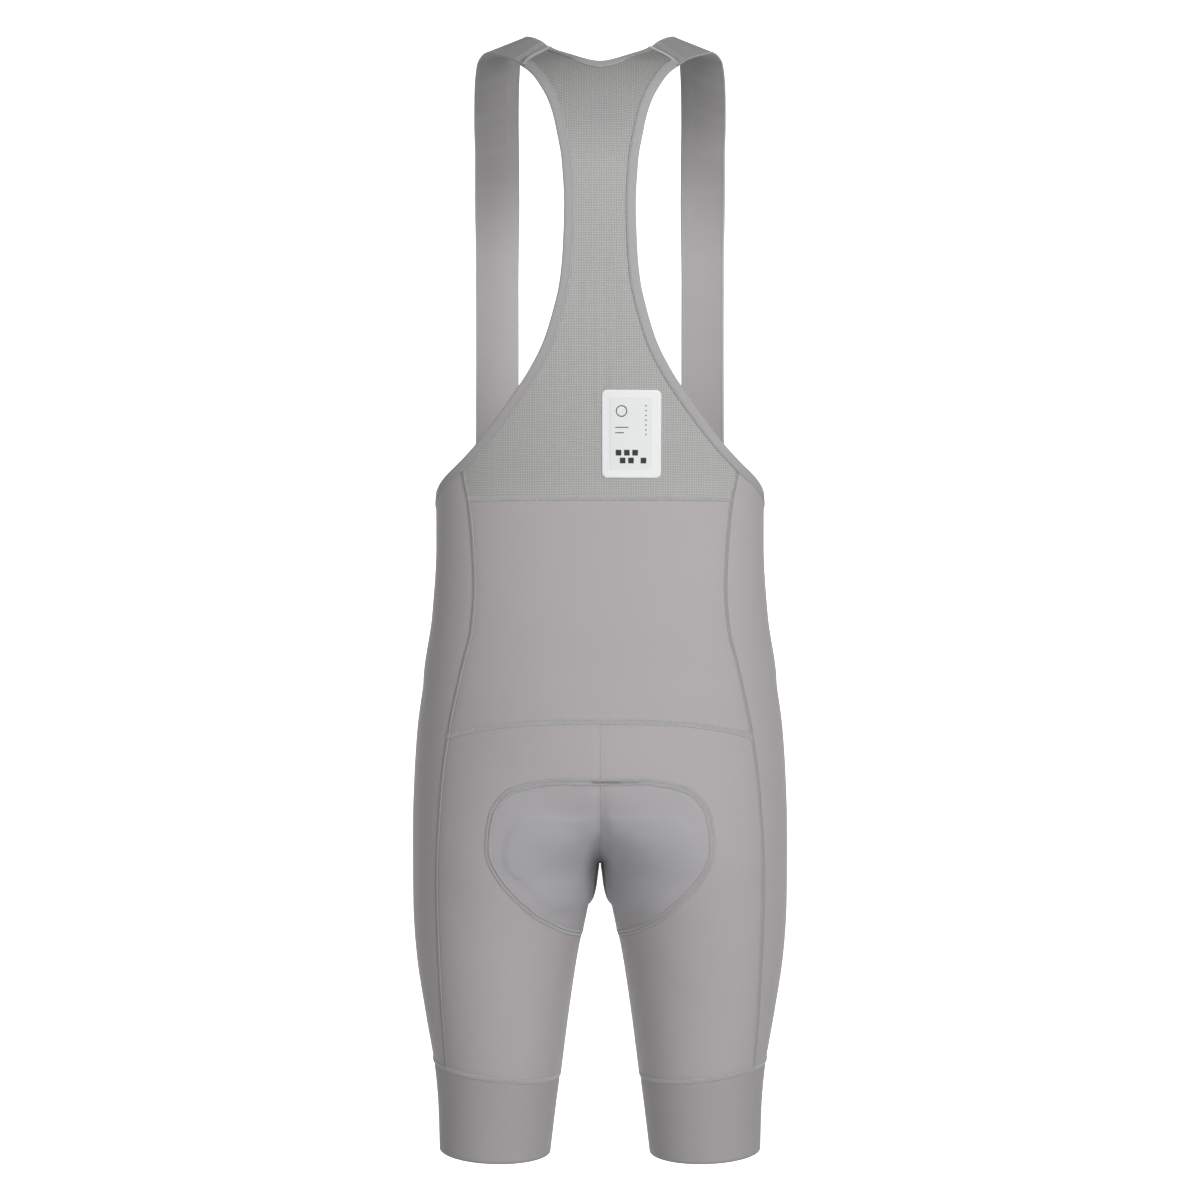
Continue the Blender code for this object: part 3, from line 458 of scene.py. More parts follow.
def edge_lines():
    """The free edge and the line where the panels inside it end, of the left armhole, and of the
    neck and the front's top from their centres to the left."""
    start, end = shoulder(0.0, HALF_GAP), shoulder(1.0, HALF_GAP)
    seam = np.linalg.norm(end - start)
    free = onto_form(route([start, *ARMHOLE], EDGE_STEP))
    line = inner_line(free, BINDING_WIDTH, end - start, DOWN)
    line[0] = shoulder(np.linalg.norm(line[0] - start) / seam, HALF_GAP)
    line[-1] = on_side(STRAP_FRONT_OUTER_X + SEAM_GAP, FRONT_SEAM_Z, -1)
    armhole = free, line
    x = np.linspace(0, 1, NECK_SPANS + 1) * end[0]
    z = NECKLINE_CENTRE_Z + (end[2] - NECKLINE_CENTRE_Z) * neck_rise(x / end[0])
    free = on_side(x, z)
    free[-1] = end
    line = inner_line(free, NECK_BINDING_WIDTH, DOWN, start - end)
    line[-1] = shoulder(1 - np.linalg.norm(line[-1] - end) / seam, HALF_GAP)
    line[0, 0] = 0.0
    neck = free, line
    reach = STRAP_FRONT_INNER_X - SEAM_GAP
    x = np.linspace(0, reach, FRONT_SPANS + 1)
    free = on_side(x, FRONT_TOP_Z - FRONT_DIP * (1 - (x / reach) ** 2) ** 2, -1)
    line = inner_line(free[::-1], BINDING_WIDTH, DOWN, DOWN)[::-1]
    line[0, 0] = 0.0
    line[-1] = on_side(reach, FRONT_SEAM_Z, -1)
    return armhole, neck, (free, line)


# ---- relief of the worn cloth

# The foam's edge inside the seat pad, which shows as a soft step in the cloth over it.
# Columns: the angle in degrees round the half's middle, and the height.
FOAM = (
    (100, -0.666), (88, -0.6672), (83, -0.6705), (82, -0.6785), (85.7, -0.694), (91, -0.709),
    (102, -0.7258), (109.5, -0.7385), (120, -0.7475), (135, -0.751), (180, -0.753),
    (212, -0.744), (228, -0.73), (237, -0.71), (245, -0.688), (252.5, -0.67), (254, -0.66),
)
FOAM_RISE = 0.0012
FOAM_SOFT = 0.0014  # half the width of its soft step
PAD_RISE = 0.0006  # of the whole pad
CLEFT_CLEAR = 0.012  # this near to the centre the rise fades away
OUTLINE_STEP = 0.0015
OUTLINE_SPANS = 16  # for each row of its table

# Soft troughs in the cloth. Columns: x, z of one end, x, z of the other, the side that they lie
# on (back +1, front -1), width and depth.
TROUGHS = (
    (0, -0.64, 0, -0.724, 1, 0.0055, 0.0012),
    (0, -0.652, 0, -0.76, 1, 0.0175, 0.0024),
    (0.034, -0.792, 0.086, -0.838, 1, 0.0075, 0.0004),
    (0.108, -0.772, 0.128, -0.716, 1, 0.009, 0.0003),
    (-0.036, -0.8, -0.082, -0.832, 1, 0.007, 0.0003),
    (-0.112, -0.76, -0.126, -0.706, 1, 0.0085, 0.0003),
    (0.062, -0.574, 0.104, -0.552, 1, 0.008, 0.0002),
    (-0.05, -0.566, -0.098, -0.56, 1, 0.009, 0.0002),
    (0.014, -0.704, 0.092, -0.64, -1, 0.0065, 0.0014),
    (0.018, -0.722, 0.11, -0.676, -1, 0.008, 0.0012),
    (0.06, -0.664, 0.118, -0.61, -1, 0.009, 0.0008),
    (-0.012, -0.708, -0.086, -0.65, -1, 0.007, 0.0013),
    (-0.02, -0.726, -0.104, -0.69, -1, 0.0075, 0.0012),
    (-0.056, -0.672, -0.122, -0.624, -1, 0.0085, 0.0009),
    (0.04, -0.79, 0.096, -0.812, -1, 0.008, 0.0007),
    (-0.046, -0.798, -0.09, -0.826, -1, 0.0075, 0.0006),
    # upright ripples low on the net's spine
    (-0.0035, -0.19, -0.0035, -0.4, 1, 0.0045, 0.0007),
    (0.0065, -0.215, 0.0065, -0.385, 1, 0.004, 0.0006),
    (0.0165, -0.175, 0.0165, -0.34, 1, 0.0045, 0.0004),
    (-0.013, -0.205, -0.013, -0.3, 1, 0.004, 0.0004),
    (0.0285, -0.24, 0.0285, -0.365, 1, 0.005, 0.0003),
)
TROUGH_FADE = 0.7  # exponent with which a trough fades towards its ends
SEAM_DIP = 0.0004  # how far the cloth is drawn in at a seam
SEAM_REACH = 0.0045
PUCKER = 0.00014  # height of the small puckers beside a seam
PUCKER_PITCH = 0.0085
PUCKER_REACH = 0.008


def soft_step(value):
    """0 below -1 and 1 above 1, with a smooth rise between."""
    t = np.clip((value + 1) / 2, 0, 1)
    return t * t * (3 - 2 * t)


def outline(turn, z):
    """A line over the left half of the form, through angles round its middle at heights."""
    at = np.linspace(0, len(z) - 1, OUTLINE_SPANS * len(z))
    turn, z = columns_at(np.stack([turn, z], axis=1), at)
    x, y = ring(z, np.radians(turn))
    return route(np.stack([x, y, z], axis=1), OUTLINE_STEP)


def soft_rise(line, rise):
    """The rise of the form inside an outline that reaches from the back to the front of a half, as
    a function of points."""
    tree = KDTree(len(line))
    for k, point in enumerate(line):
        tree.insert(point, k)
    tree.balance()
    edge_z, edge_angle = line[:, 2], angle_of(line) % (2 * math.pi)
    low = np.argmin(edge_z)

    def rise_at(points):
        flat = points.reshape(-1, 3) * 1.0
        flat[:, 0] = np.abs(flat[:, 0])
        z = flat[:, 2]
        near = np.nonzero((z > edge_z.min() - FOAM_SOFT) & (z < edge_z.max() + FOAM_SOFT))[0]
        some, z = flat[near], z[near]
        angle = angle_of(some) % (2 * math.pi)
        first = np.interp(z, edge_z[low::-1], edge_angle[low::-1])
        last = np.interp(z, edge_z[low:], edge_angle[low:])
        inside = (angle > first) & (angle < last) & (z < edge_z[0])
        away = np.array([tree.find(point)[2] for point in some])
        found = np.zeros(len(flat))
        found[near] = rise * soft_step(np.where(inside, away, -away) / FOAM_SOFT)
        return found.reshape(points.shape[:-1])

    return rise_at


def trough(points, start, end, width, depth):
    """The depth of a soft trough from start to end, both (x, z), fading towards its ends."""
    start, end = np.array(start), np.array(end)
    along = end - start
    offset = points[..., [0, 2]] - start
    share = np.clip((offset @ along) / (along @ along), 0, 1)
    off = np.linalg.norm(offset - share[..., None] * along, axis=-1)
    return depth * np.sin(np.pi * share) ** TROUGH_FADE * np.exp(-((off / width) ** 2))


def relief(points):
    """How far the cloth stands off the form at points of it."""
    apart = soft_step(2 * np.abs(points[..., 0]) / CLEFT_CLEAR - 1)
    rise = (foam_step(points) + pad_step(points)) * apart
    for x0, z0, x1, z1, side, width, depth in TROUGHS:
        there = side * points[..., 1] > 0
        rise = rise - np.where(there, trough(points, (x0, z0), (x1, z1), width, depth), 0)
    return rise


def lifted(points, height=0.0):
    """Points of the form moved onto the cloth, and a height further out."""
    return points + normals(points) * (relief(points) + height)[..., None]


def drawn_in(points, edges):
    """A panel's points with its relief, drawn in and puckered beside the seams at its edges.
    edges: which of its sides are sewn, of top, foot, first and last."""
    down, over = lengths_along(points), lengths_along(points, 1)
    away = {
        "top": (down, over),
        "foot": (down[-1:] - down, over),
        "first": (over, down),
        "last": (over[:, -1:] - over, down),
    }
    dip = np.zeros(points.shape[:2])
    for name in edges:
        off, along = away[name]
        wave = np.sin(2 * np.pi * along / PUCKER_PITCH) * np.sin(along / PUCKER_PITCH)
        dip = np.maximum(dip, SEAM_DIP * np.exp(-((off / SEAM_REACH) ** 2)))
        dip = dip + PUCKER * wave * np.exp(-((off / PUCKER_REACH) ** 2))
    return lifted(points, -dip)


# ---- meshes


def new_piece(name, kind, points, faces, places=None):
    """A mesh object. places: for each corner of each face, where it lies on the flat cloth."""
    mesh = bpy.data.meshes.new(name)
    mesh.from_pydata(points.tolist(), [], faces.tolist())
    if places is not None:
        cloth = mesh.attributes.new("cloth", "FLOAT_VECTOR", "CORNER")
        flat = np.concatenate([places, 0 * places[:, :1]], axis=1)
        cloth.data.foreach_set("vector", flat.astype(np.float32).ravel())
    mesh.shade_smooth()
    mesh.materials.append(material(kind))
    piece = bpy.data.objects.new(name, mesh)
    garment.objects.link(piece)
    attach(piece, "root")
    return piece


def add_shade(piece, name, values):
    """A value at each point of a piece, from 0 to 1, which its material reads."""
    shade = piece.data.attributes.new(name, "FLOAT", "POINT")
    shade.data.foreach_set("value", values.astype(np.float32))


def joined(name, kind, parts):
    """One object from several arrays of points and their faces."""
    points, faces = zip(*parts)
    bases = np.cumsum([0, *map(len, points)])
    faces = [some + base for some, base in zip(faces, bases)]
    return new_piece(name, kind, np.concatenate(points), np.concatenate(faces))


def corners_of(grid):
    """The four corners of each cell of a grid, in order round it."""
    return np.stack([grid[:-1, :-1], grid[:-1, 1:], grid[1:, 1:], grid[1:, :-1]], axis=2)


def grid_faces(rows, columns, wrap=False, close=False):
    """A grid's faces. wrap: a row's end joins its start. close: the last row joins the first."""
    index = np.arange(rows * columns).reshape(rows, columns)
    if wrap:
        index = np.concatenate([index, index[:, :1]], axis=1)
    if close:
        index = np.concatenate([index, index[:1]])
    return corners_of(index).reshape(-1, 4)


def grid_places(points, wrap=False):
    """Where each face corner of a grid lies on its flat cloth, across and down, in metres."""
    closed = np.concatenate([points, points[:, :1]], axis=1) if wrap else points
    over, down = lengths_along(closed, 1).mean(0), -lengths_along(points).mean(1)
    return corners_of(np.stack(np.meshgrid(over, down), axis=-1)).reshape(-1, 2)


def off_form(points, faces):
    """Whether faces face away from the form."""
    a, b, c = (points[faces[:, k]] for k in range(3))
    return (np.cross(b - a, c - a) * normals((a + c) / 2)).sum() > 0


def outwards(points, faces):
    """Whether a closed body's faces face outwards."""
    a, b, c, d = (points[faces[:, k]] for k in range(4))
    return (a * (np.cross(b, c) + np.cross(c, d))).sum() >= 0


def turned(right, faces, places=None):
    """Faces and the places of their corners, turned round unless they are right."""
    if right:
        return faces, places
    if places is not None:
        places = places.reshape(-1, 4, 2)[:, ::-1].reshape(-1, 2)
    return faces[:, ::-1], places


def shell(name, kind, points, thick, wrap=False):
    """A thin wall of cloth whose outer face is a grid of points."""
    flat = points.reshape(-1, 3)
    faces = grid_faces(*points.shape[:2], wrap)
    faces, places = turned(off_form(flat, faces), faces, grid_places(points, wrap))
    piece = new_piece(name, kind, flat, faces, places)
    wall = piece.modifiers.new("wall", "SOLIDIFY")
    wall.thickness = thick
    wall.offset = -1.0
    return piece


def sweep(name, kind, loops):
    """A closed body through a row of closed loops."""
    points = loops.reshape(-1, 3)
    faces = grid_faces(*loops.shape[:2], wrap=True)
    faces, places = turned(outwards(points, faces), faces, grid_places(loops, wrap=True))
    piece = new_piece(name, kind, points, faces, places)
    shape = bmesh.new()
    shape.from_mesh(piece.data)
    bmesh.ops.holes_fill(shape, edges=[e for e in shape.edges if e.is_boundary])
    shape.to_mesh(piece.data)
    shape.free()
    return piece


def loops_part(loops, wrap=False):
    """The points and outward faces of a closed body through closed loops of an even count.
    wrap: its last loop joins its first."""
    rows, columns = loops.shape[:2]
    faces = [grid_faces(rows, columns, wrap=True, close=wrap)]
    first = np.arange(columns)
    if not wrap:
        for row, turn in ((first, 1), (first + (rows - 1) * columns, -1)):
            a, b = row[:columns // 2], row[:columns // 2 - 1:-1]
            faces.append(np.stack([a[:-1], a[1:], b[1:], b[:-1]], axis=1)[:, ::turn])
    points, faces = loops.reshape(-1, 3), np.concatenate(faces)
    return points, turned(outwards(points, faces), faces)[0]


def slab(name, kind, outer, inner):
    """A closed wall between two grids of points."""
    faces = grid_faces(*outer.shape[:2])
    count = outer[..., 0].size
    index = np.arange(count).reshape(outer.shape[:2])
    rim = np.concatenate([index[0, :-1], index[:-1, -1], index[-1, :0:-1], index[:0:-1, 0]])
    after = np.roll(rim, -1)
    sides = np.stack([after, rim, rim + count, after + count], axis=1)
    faces = np.concatenate([faces, faces[:, ::-1] + count, sides])
    points = np.concatenate([outer.reshape(-1, 3), inner.reshape(-1, 3)])
    return new_piece(name, kind, points, turned(outwards(points, faces), faces)[0])


def mirrored(points):
    return points * np.array([-1.0, 1.0, 1.0])


def mirrored_part(part):
    points, faces = part
    return mirrored(points), faces[:, ::-1]


# ---- seams

# Half of a band's section. Columns: place across it, from its middle 0 to its edge 1, and height
# above the cloth, in metres.
FLATLOCK = (
    (0, 0.00016), (0.3, 0.00022), (0.62, 0.00024), (0.84, 0.00016), (0.96, 0), (1, -0.00035),
)
DOUBLE_ROW = (
    (0, -0.00025), (0.1, -0.00015), (0.24, 0.00036), (0.4, 0.00044), (0.56, 0.00034),
    (0.64, 0.00008), (0.72, 0.0002), (0.86, 0.0002), (0.96, 0), (1, -0.0004),
)
SUNKEN = ((0, -0.0004), (0.3, -0.00042), (0.6, -0.00046), (1, -0.0006))
FLATLOCK_HALF = 0.0022
DOUBLE_HALF = 0.0034
SIDE_HALF = 0.0017
CENTRE_HALF = 0.0012
BAND_STEP = 0.0018
BAND_UNDER = -0.0007  # the band's underside lies this far inside the cloth's face
STITCH = 0.0012  # from one cross thread to the next
THREAD = 0.00025  # radius
THREAD_SIDES = 4
# The rows of cross threads on a band, each from one place to another as shares of its half width.
ONE_ROW = ((-0.9, 0.9),)
TWO_ROWS = ((-0.74, -0.12), (0.12, 0.74))
SLANT = 0.35  # of a cross thread, as a share of its pitch
# The course of a cross thread, from -1 at one end to 1 at the other, of a stitch that runs along
# its row, from -0.5 to 0.5, and of one on a strap. Columns: place and height in thread radii.
CROSS_COURSE = ((-1, -0.8), (-0.6, 0.6), (0, 0.8), (0.6, 0.6), (1, -0.8))
DASH_COURSE = ((-0.5, -1), (-0.3, 0.5), (0.3, 0.5), (0.5, -1))
STRAP_COURSE = ((-0.5, -1), (-0.3, 0.6), (0.3, 0.6), (0.5, -1))


def band_loops(line, half, section, height):
    """The closed loops of a band along a line, its section raised on the cloth."""
    place, rise = np.array(section).T
    place = np.concatenate([-place[:0:-1], place]) * half
    rise = np.concatenate([rise[:0:-1], rise]) + height
    flat = onto_form(line[:, None] + sideways(line)[:, None] * place[:, None])
    low = flat[:, [-1, len(place) // 2, 0]]
    return np.concatenate([lifted(flat, rise), lifted(low, BAND_UNDER)], axis=1)


def thread_part(spots, side, up, radius):
    """Four-sided threads through rows of spots, as an array of points and their outward faces."""
    turn = np.arange(THREAD_SIDES) * 2 * math.pi / THREAD_SIDES
    rings = (
        spots[:, :, None]
        + side[:, :, None] * (np.cos(turn) * radius)[:, None]
        + up[:, :, None] * (np.sin(turn) * radius)[:, None]
    )
    index = np.arange(rings.size // 3).reshape(rings.shape[:-1])
    a, b = index[:, :-1], index[:, 1:]
    sides = np.stack([a, b, np.roll(b, -1, 2), np.roll(a, -1, 2)], axis=-1).reshape(-1, 4)
    return rings.reshape(-1, 3), np.concatenate([sides, index[:, 0], index[:, -1, ::-1]])


def stitches_along(line, pitch):
    """Distances along a line to the middle of each of its stitches, as a column."""
    length = lengths_along(line)[-1]
    count = max(1, int(length / pitch))
    return (np.arange(count) + 0.5)[:, None] * length / count


def read_along(line, values, at):
    """Values that belong to a line's points, read at distances along it."""
    along = lengths_along(line)
    return np.stack([np.interp(at, along, some) for some in values.T], axis=-1)


def threads(line, start, end, crest):
    """Rounded threads across a band, from one distance off its middle to another, one for each
    stitch, as an array of points and their faces. crest: the band's height."""
    places, heights = np.array(CROSS_COURSE).T
    at = stitches_along(line, STITCH)
    lean = places * SLANT * STITCH * np.where(np.arange(len(at)) % 2, 1, -1)[:, None]
    spots = read_along(line, line, at + lean)
    across = unit(np.cross(normals(spots), read_along(line, headings(line), at)))
    off = (start + end) / 2 + places * (end - start) / 2
    spots = onto_form(spots + across * off[:, None])
    up = normals(spots)
    side = unit(np.cross(across, up))
    return thread_part(lifted(spots, crest + heights * THREAD), side, up, THREAD)


def dashes(line, pitch, share, radius, height):
    """A row of short stitches along a line, lying on the cloth at a height."""
    places, heights = np.array(DASH_COURSE).T
    flat = read_along(line, line, stitches_along(line, pitch) + places * pitch * share)
    spots = lifted(flat, heights * radius + height)
    up = normals(flat)
    side = unit(np.cross(unit(spots[:, -1:] - spots[:, :1]), up))
    return thread_part(spots, side, up, radius)


def add_seam(
    name, line, half=FLATLOCK_HALF, section=FLATLOCK, rows=ONE_ROW, wrap=False, height=0.0, kind="thread"
):
    """A band along a line of the form, with rows of threads of a kind that cross it.
    height: of what it is sewn on, above the cloth."""
    line = route(line, BAND_STEP)
    loops = band_loops(line, half, section, height)
    if wrap:
        loops = loops[:-1]
    joined(f"seam_{name}", "seam", [loops_part(loops, wrap)])
    crest = height + max(rise for _, rise in section)
    if rows:
        sewn = [threads(line, start * half, end * half, crest) for start, end in rows]
        joined(f"stitches_{name}", kind, sewn)


# ---- panels

# The rows and columns of the panels' grids.
LUMBAR_ROWS = 76
LUMBAR_COLUMNS = 97
GRIPPER_ROWS = 28
GRIPPER_COLUMNS = 129
SEAT_COLUMNS = 61
SIDE_COLUMNS = 53
FRONT_COLUMNS = 61
SEAT_GATHER = 1.25  # exponent with which the seat's columns gather at the centre seam


def leg_levels(top):
    """Heights of a leg panel's rows, which gather at the crotch."""
    crotch = crotch_z()
    start = crotch + NEAR_CROTCH
    upper = np.linspace(top, start, round((top - start) / PANEL_STEP))
    near = crotch + NEAR_CROTCH * (np.arange(NEAR_ROWS, -1, -1) / NEAR_ROWS) ** NEAR_GATHER
    below = crotch - BELOW_CROTCH * (np.arange(1, BELOW_ROWS + 1) / BELOW_ROWS) ** BELOW_GATHER
    legs = np.linspace(below[-1], GRIPPER_INNER_Z, LEG_ROWS)
    return np.concatenate([upper[:-1], near, below, legs[1:]])


def half_gap_angle(z):
    return HALF_GAP / section(z)[1]


def panel_foot(x, _):
    return gripper_seam_z(x) + HALF_GAP


def declare(piece, node):
    """Hides the part's solid that a piece stands for."""
    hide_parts(node)


def pair(name, kind, points, thick, wrap=False):
    """A sheet of the wearer's left side and its mirror image."""
    padded = (pad_step(points) / PAD_RISE + foam_step(points) / FOAM_RISE).ravel() / 2
    for side, there in (("left", points), ("right", mirrored(points))):
        piece = shell(f"worn_{name}_{side}", kind, there, thick, wrap)
        if kind == "knit":
            add_shade(piece, "padded", padded)
        declare(piece, f"{name}_{side}")


def add_lumbar():
    rows = np.linspace(0, 1, LUMBAR_ROWS)[:, None]
    across = np.linspace(-1, 1, LUMBAR_COLUMNS)
    top = WAIST_SEAM_Z - HALF_GAP
    z = top + rows * (yoke_z(across * YOKE_REACH) + HALF_GAP - top)
    x = (seam_x(SIDE_BACK_SEAM, z[:, -1:]) - HALF_GAP) * across
    points = drawn_in(on_side(x, z), ("top", "foot", "first", "last"))
    declare(shell("worn_lumbar", "knit", points, CLOTH), "lumbar_panel")


def add_legs(side_edge, front_edge):
    """The seat, side and front panels, and the leg grippers below them."""
    # Columns: name, angle of the first and of the last edge, height of the top edge, the highest
    # row, the columns' places, the sewn edges, and the side (back +1, front -1) of a panel that
    # reaches the centre plane.
    panels = (
        (
            "seat_panel", lambda z: centre_angle(z, 1), lambda z: back_seam(z) + half_gap_angle(z),
            lambda x, angle: yoke_z(x) - HALF_GAP, YOKE_CENTRE_Z,
            np.linspace(0, 1, SEAT_COLUMNS) ** SEAT_GATHER, ("top", "foot", "first", "last"), 1,
        ),
        (
            "side_panel", lambda z: back_seam(z) - half_gap_angle(z),
            lambda z: front_seam(z) + half_gap_angle(z), angle_reading(side_edge), side_edge[0, 2],
            np.linspace(0, 1, SIDE_COLUMNS), ("foot", "first", "last"), 0,
        ),
        (
            "front_panel", lambda z: front_seam(z) - half_gap_angle(z), lambda z: centre_angle(z, -1),
            angle_reading(front_edge), FRONT_SEAM_Z,
            np.linspace(0, 1, FRONT_COLUMNS), ("foot", "first", "last"), -1,
        ),
    )
    for name, first, last, top, top_z, across, edges, side in panels:
        points = patch(first, last, top, panel_foot, leg_levels(top_z), across)
        points = drawn_in(points, edges)
        if side:
            points[..., 0] = np.maximum(points[..., 0], HALF_GAP)
            points[..., 1] = side * np.maximum(side * points[..., 1], HALF_GAP)
        pair(name, "knit", points, CLOTH)
    points = patch(
        lambda z: np.full_like(z, -math.pi), lambda z: np.full_like(z, math.pi),
        lambda x, angle: gripper_seam_z(x) - HALF_GAP, lambda x, angle: hem_z(x),
        np.linspace(GRIPPER_INNER_Z, HEM_INNER_Z, GRIPPER_ROWS), np.linspace(0, 1, GRIPPER_COLUMNS),
    )
    pair("leg_gripper", "gripper", drawn_in(points[:, :-1], ("top",)), GRIPPER_CLOTH, wrap=True)


# ---- the net

NET_PITCH = 0.0021
NET_RIM = 0.2  # from a cell's corner to its dimple, as a share of the pitch
NET_DIMPLE = 0.00045
NET_TUCK = 0.004  # how far the net reaches into its bindings
SEAM_TUCK = 0.001  # and under the shoulder seam
NET_READINGS = (1500, 90)  # with which lengths over the form are read, up it and across it
NET_SIDE_POINTS = 9  # of the net's edge on the side panels
NET_PROBE = 1000  # floors of dimples whose facing is tested
# A plain tinted rectangle that shows faintly through the net below the neck.
TINT_X = (-0.0109, 0.0084)
TINT_Z = (-0.0866, -0.0685)
NET_TOP_SHADE_FROM = (-0.125, -0.03)  # painted shade: the net's colour darkens towards its top between these heights


def cell_spots(length):
    """Places, along a length, of each cell's corner and of the two sides of its dimple."""
    cells = int(length / NET_PITCH)
    spots = np.arange(cells)[:, None] + np.array([0, NET_RIM, 1 - NET_RIM])
    return np.append(spots.ravel(), cells) * NET_PITCH


def net_points(neck, reach):
    """A grid over the upper back with three places to a cell, across and up from the waist seam.
    reach: the net's half width as a function of the height. The highest rows bend with the neck."""
    high, wide = NET_READINGS
    z = np.linspace(WAIST_SEAM_Z + HALF_GAP, neck[0, 2] + NET_TUCK, high)
    along = lengths_along(on_side(0 * z, z))
    levels = np.interp(cell_spots(along[-1]), along, z)
    half = np.where(levels > NECKLINE_REACH_Z, SHOULDER_OUTER[0], reach(levels)) + 2 * NET_TUCK
    x = half[:, None] * np.linspace(0, 1, wide)
    along = lengths_along(on_side(x, levels[:, None]), 1)
    spots = cell_spots(along.max() + NET_PITCH)
    x = np.stack([np.interp(spots, row, places) for row, places in zip(along, x)])
    x = np.concatenate([-x[:, :0:-1], x], axis=1)
    fan = np.clip((levels - NECKLINE_REACH_Z) / (neck[0, 2] - NECKLINE_REACH_Z), 0, 1)
    bend = (neck[-1, 2] - neck[0, 2]) * neck_rise(np.abs(x) / neck[-1, 0])
    return onto_form(on_side(x, levels[:, None] + fan[:, None] ** 2 * bend))


def net_faces(kept):
    """The faces of the net's kept cells. Its points are the outer corners of all cells, the four
    corners of each dimple's floor, and the inner corners."""
    rows, columns = kept.shape
    corner = np.arange((rows + 1) * (columns + 1)).reshape(rows + 1, columns + 1)
    hole = corner.size + np.arange(kept.size * 4).reshape(rows, columns, 4)
    out, under = corners_of(corner), corners_of(corner) + corner.size + hole.size
    faces = [hole[kept], under[kept][:, ::-1]]
    for k, shift in enumerate(((1, 0), (0, -1), (-1, 0), (0, 1))):
        a, b = k, (k + 1) % 4
        rim = kept & ~np.roll(np.pad(kept, 1), shift, (0, 1))[1:-1, 1:-1]
        quads = [out[..., a], out[..., b], hole[..., b], hole[..., a]]
        sides = [out[..., b], out[..., a], under[..., a], under[..., b]]
        faces += [np.stack(quads, axis=-1)[kept], np.stack(sides, axis=-1)[rim]]
    return np.concatenate(faces), corner.size, corner.size + hole.size


def add_net(armhole, neck):
    """The upper back, a knitted net of square cells with a dimple in each."""
    side = armhole[-1, 2]
    low = np.linspace(WAIST_SEAM_Z, side, NET_SIDE_POINTS)[:-1]
    edge_z = np.concatenate([low, armhole[::-1, 2], neck[-1:, 2]])
    edge_x = np.concatenate([seam_x(SIDE_BACK_SEAM, low), armhole[::-1, 0], neck[-1:, 0]])
    points = net_points(neck, lambda z: np.interp(z, edge_z, edge_x))
    middle = points[1::3, 1::3] / 2 + points[2::3, 2::3] / 2
    x, z = np.abs(middle[..., 0]), middle[..., 2]
    tuck = np.where(z < side, 0.0, np.where(z > armhole[0, 2], SEAM_TUCK, NET_TUCK))
    below = z < np.interp(x, neck[:, 0], neck[:, 2]) + NET_TUCK
    faces, first_floor, first_inner = net_faces((x < np.interp(z, edge_z, edge_x) + tuck) & below)
    corners = points[::3, ::3]
    floors = np.stack([points[i::3, j::3] for i, j in ((1, 1), (1, 2), (2, 2), (2, 1))], axis=2)
    layers = lifted(corners), lifted(floors, -NET_DIMPLE), lifted(corners, -CLOTH)
    used, faces = np.unique(faces, return_inverse=True)
    faces = faces.reshape(-1, 4)
    points = np.concatenate([layer.reshape(-1, 3) for layer in layers])[used]
    piece = new_piece("worn_net", "net", points, turned(off_form(points, faces[:NET_PROBE]), faces)[0])
    x, z = points[:, 0], points[:, 2]
    inside = (x > TINT_X[0]) & (x < TINT_X[1]) & (z > TINT_Z[0]) & (z < TINT_Z[1])
    for name, values in (
        ("dimple", (used >= first_floor) & (used < first_inner)),
        ("tint", inside),
        # painted shade, which rises towards the net's top
        ("high", np.interp(z, NET_TOP_SHADE_FROM, (0.0, 1.0))),
    ):
        add_shade(piece, name, values)
    declare(piece, "back_net_panel")


# ---- bindings and straps

# A folded tape's section. Columns: place from its free edge 0 to the panel's edge 1, and height
# from the middle of the panel, as a share of the binding's half thickness.
FOLD = (
    (1, 0.8), (0.95, 0.98), (0.8, 1), (0.3, 1), (0.12, 0.88), (0.03, 0.55), (0, 0),
    (0.03, -0.55), (0.12, -0.88), (0.3, -1), (0.8, -1), (0.95, -0.98), (1, -0.8),
    (1, -0.62), (0.2, -0.62), (0.2, 0.62), (1, 0.62),
)
BINDING_STITCH = 0.0022
BINDING_STITCH_SHARE = 0.72  # of its pitch that a stitch covers
BINDING_STITCH_IN = 0.0014  # from the binding's inner edge to its stitches
BINDING_PROUD = BINDING_HALF - CLOTH / 2  # how far a binding stands above the cloth

# A strap's section. Columns: distance from its edge, and height on its face, in metres.
SELVEDGE = (
    (0, -0.0006), (0.0002, -0.00025), (0.0006, 0.00004), (0.0014, 0.00012), (0.0022, 0.0001),
    (0.0028, -0.00004), (0.0034, 0),
)
STRAP_SPANS = 14
STRAP_FINE = 10  # rows between two of the table's
STRAP_STITCH_ROWS = (7, 9)
STRAP_STITCH_SHARE = 0.75
STRAP_STITCH_COLUMNS = slice(3, -3)


def folded(free, line):
    """Closed loops of a tape that is folded over a panel's edge."""
    place, height = np.array(FOLD).T
    flat = onto_form(free[:, None] + (line - free)[:, None] * place[:, None])
    return lifted(flat, height * BINDING_HALF - CLOTH / 2)


def binding_stitches(free, line):
    width = np.linalg.norm(line - free, axis=1, keepdims=True)
    row = route(onto_form(line + (free - line) * BINDING_STITCH_IN / width), EDGE_STEP)
    faces = (THREAD, BINDING_PROUD), (-THREAD, -CLOTH - BINDING_PROUD)
    return [dashes(row, BINDING_STITCH, BINDING_STITCH_SHARE, *face) for face in faces]


def add_binding(name, cut, free, line, stitches):
    piece = sweep(f"worn_{name}", "binding", folded(free, line))
    sewn = joined(f"stitches_worn_{name}", "seam", stitches)
    declare(piece, name)


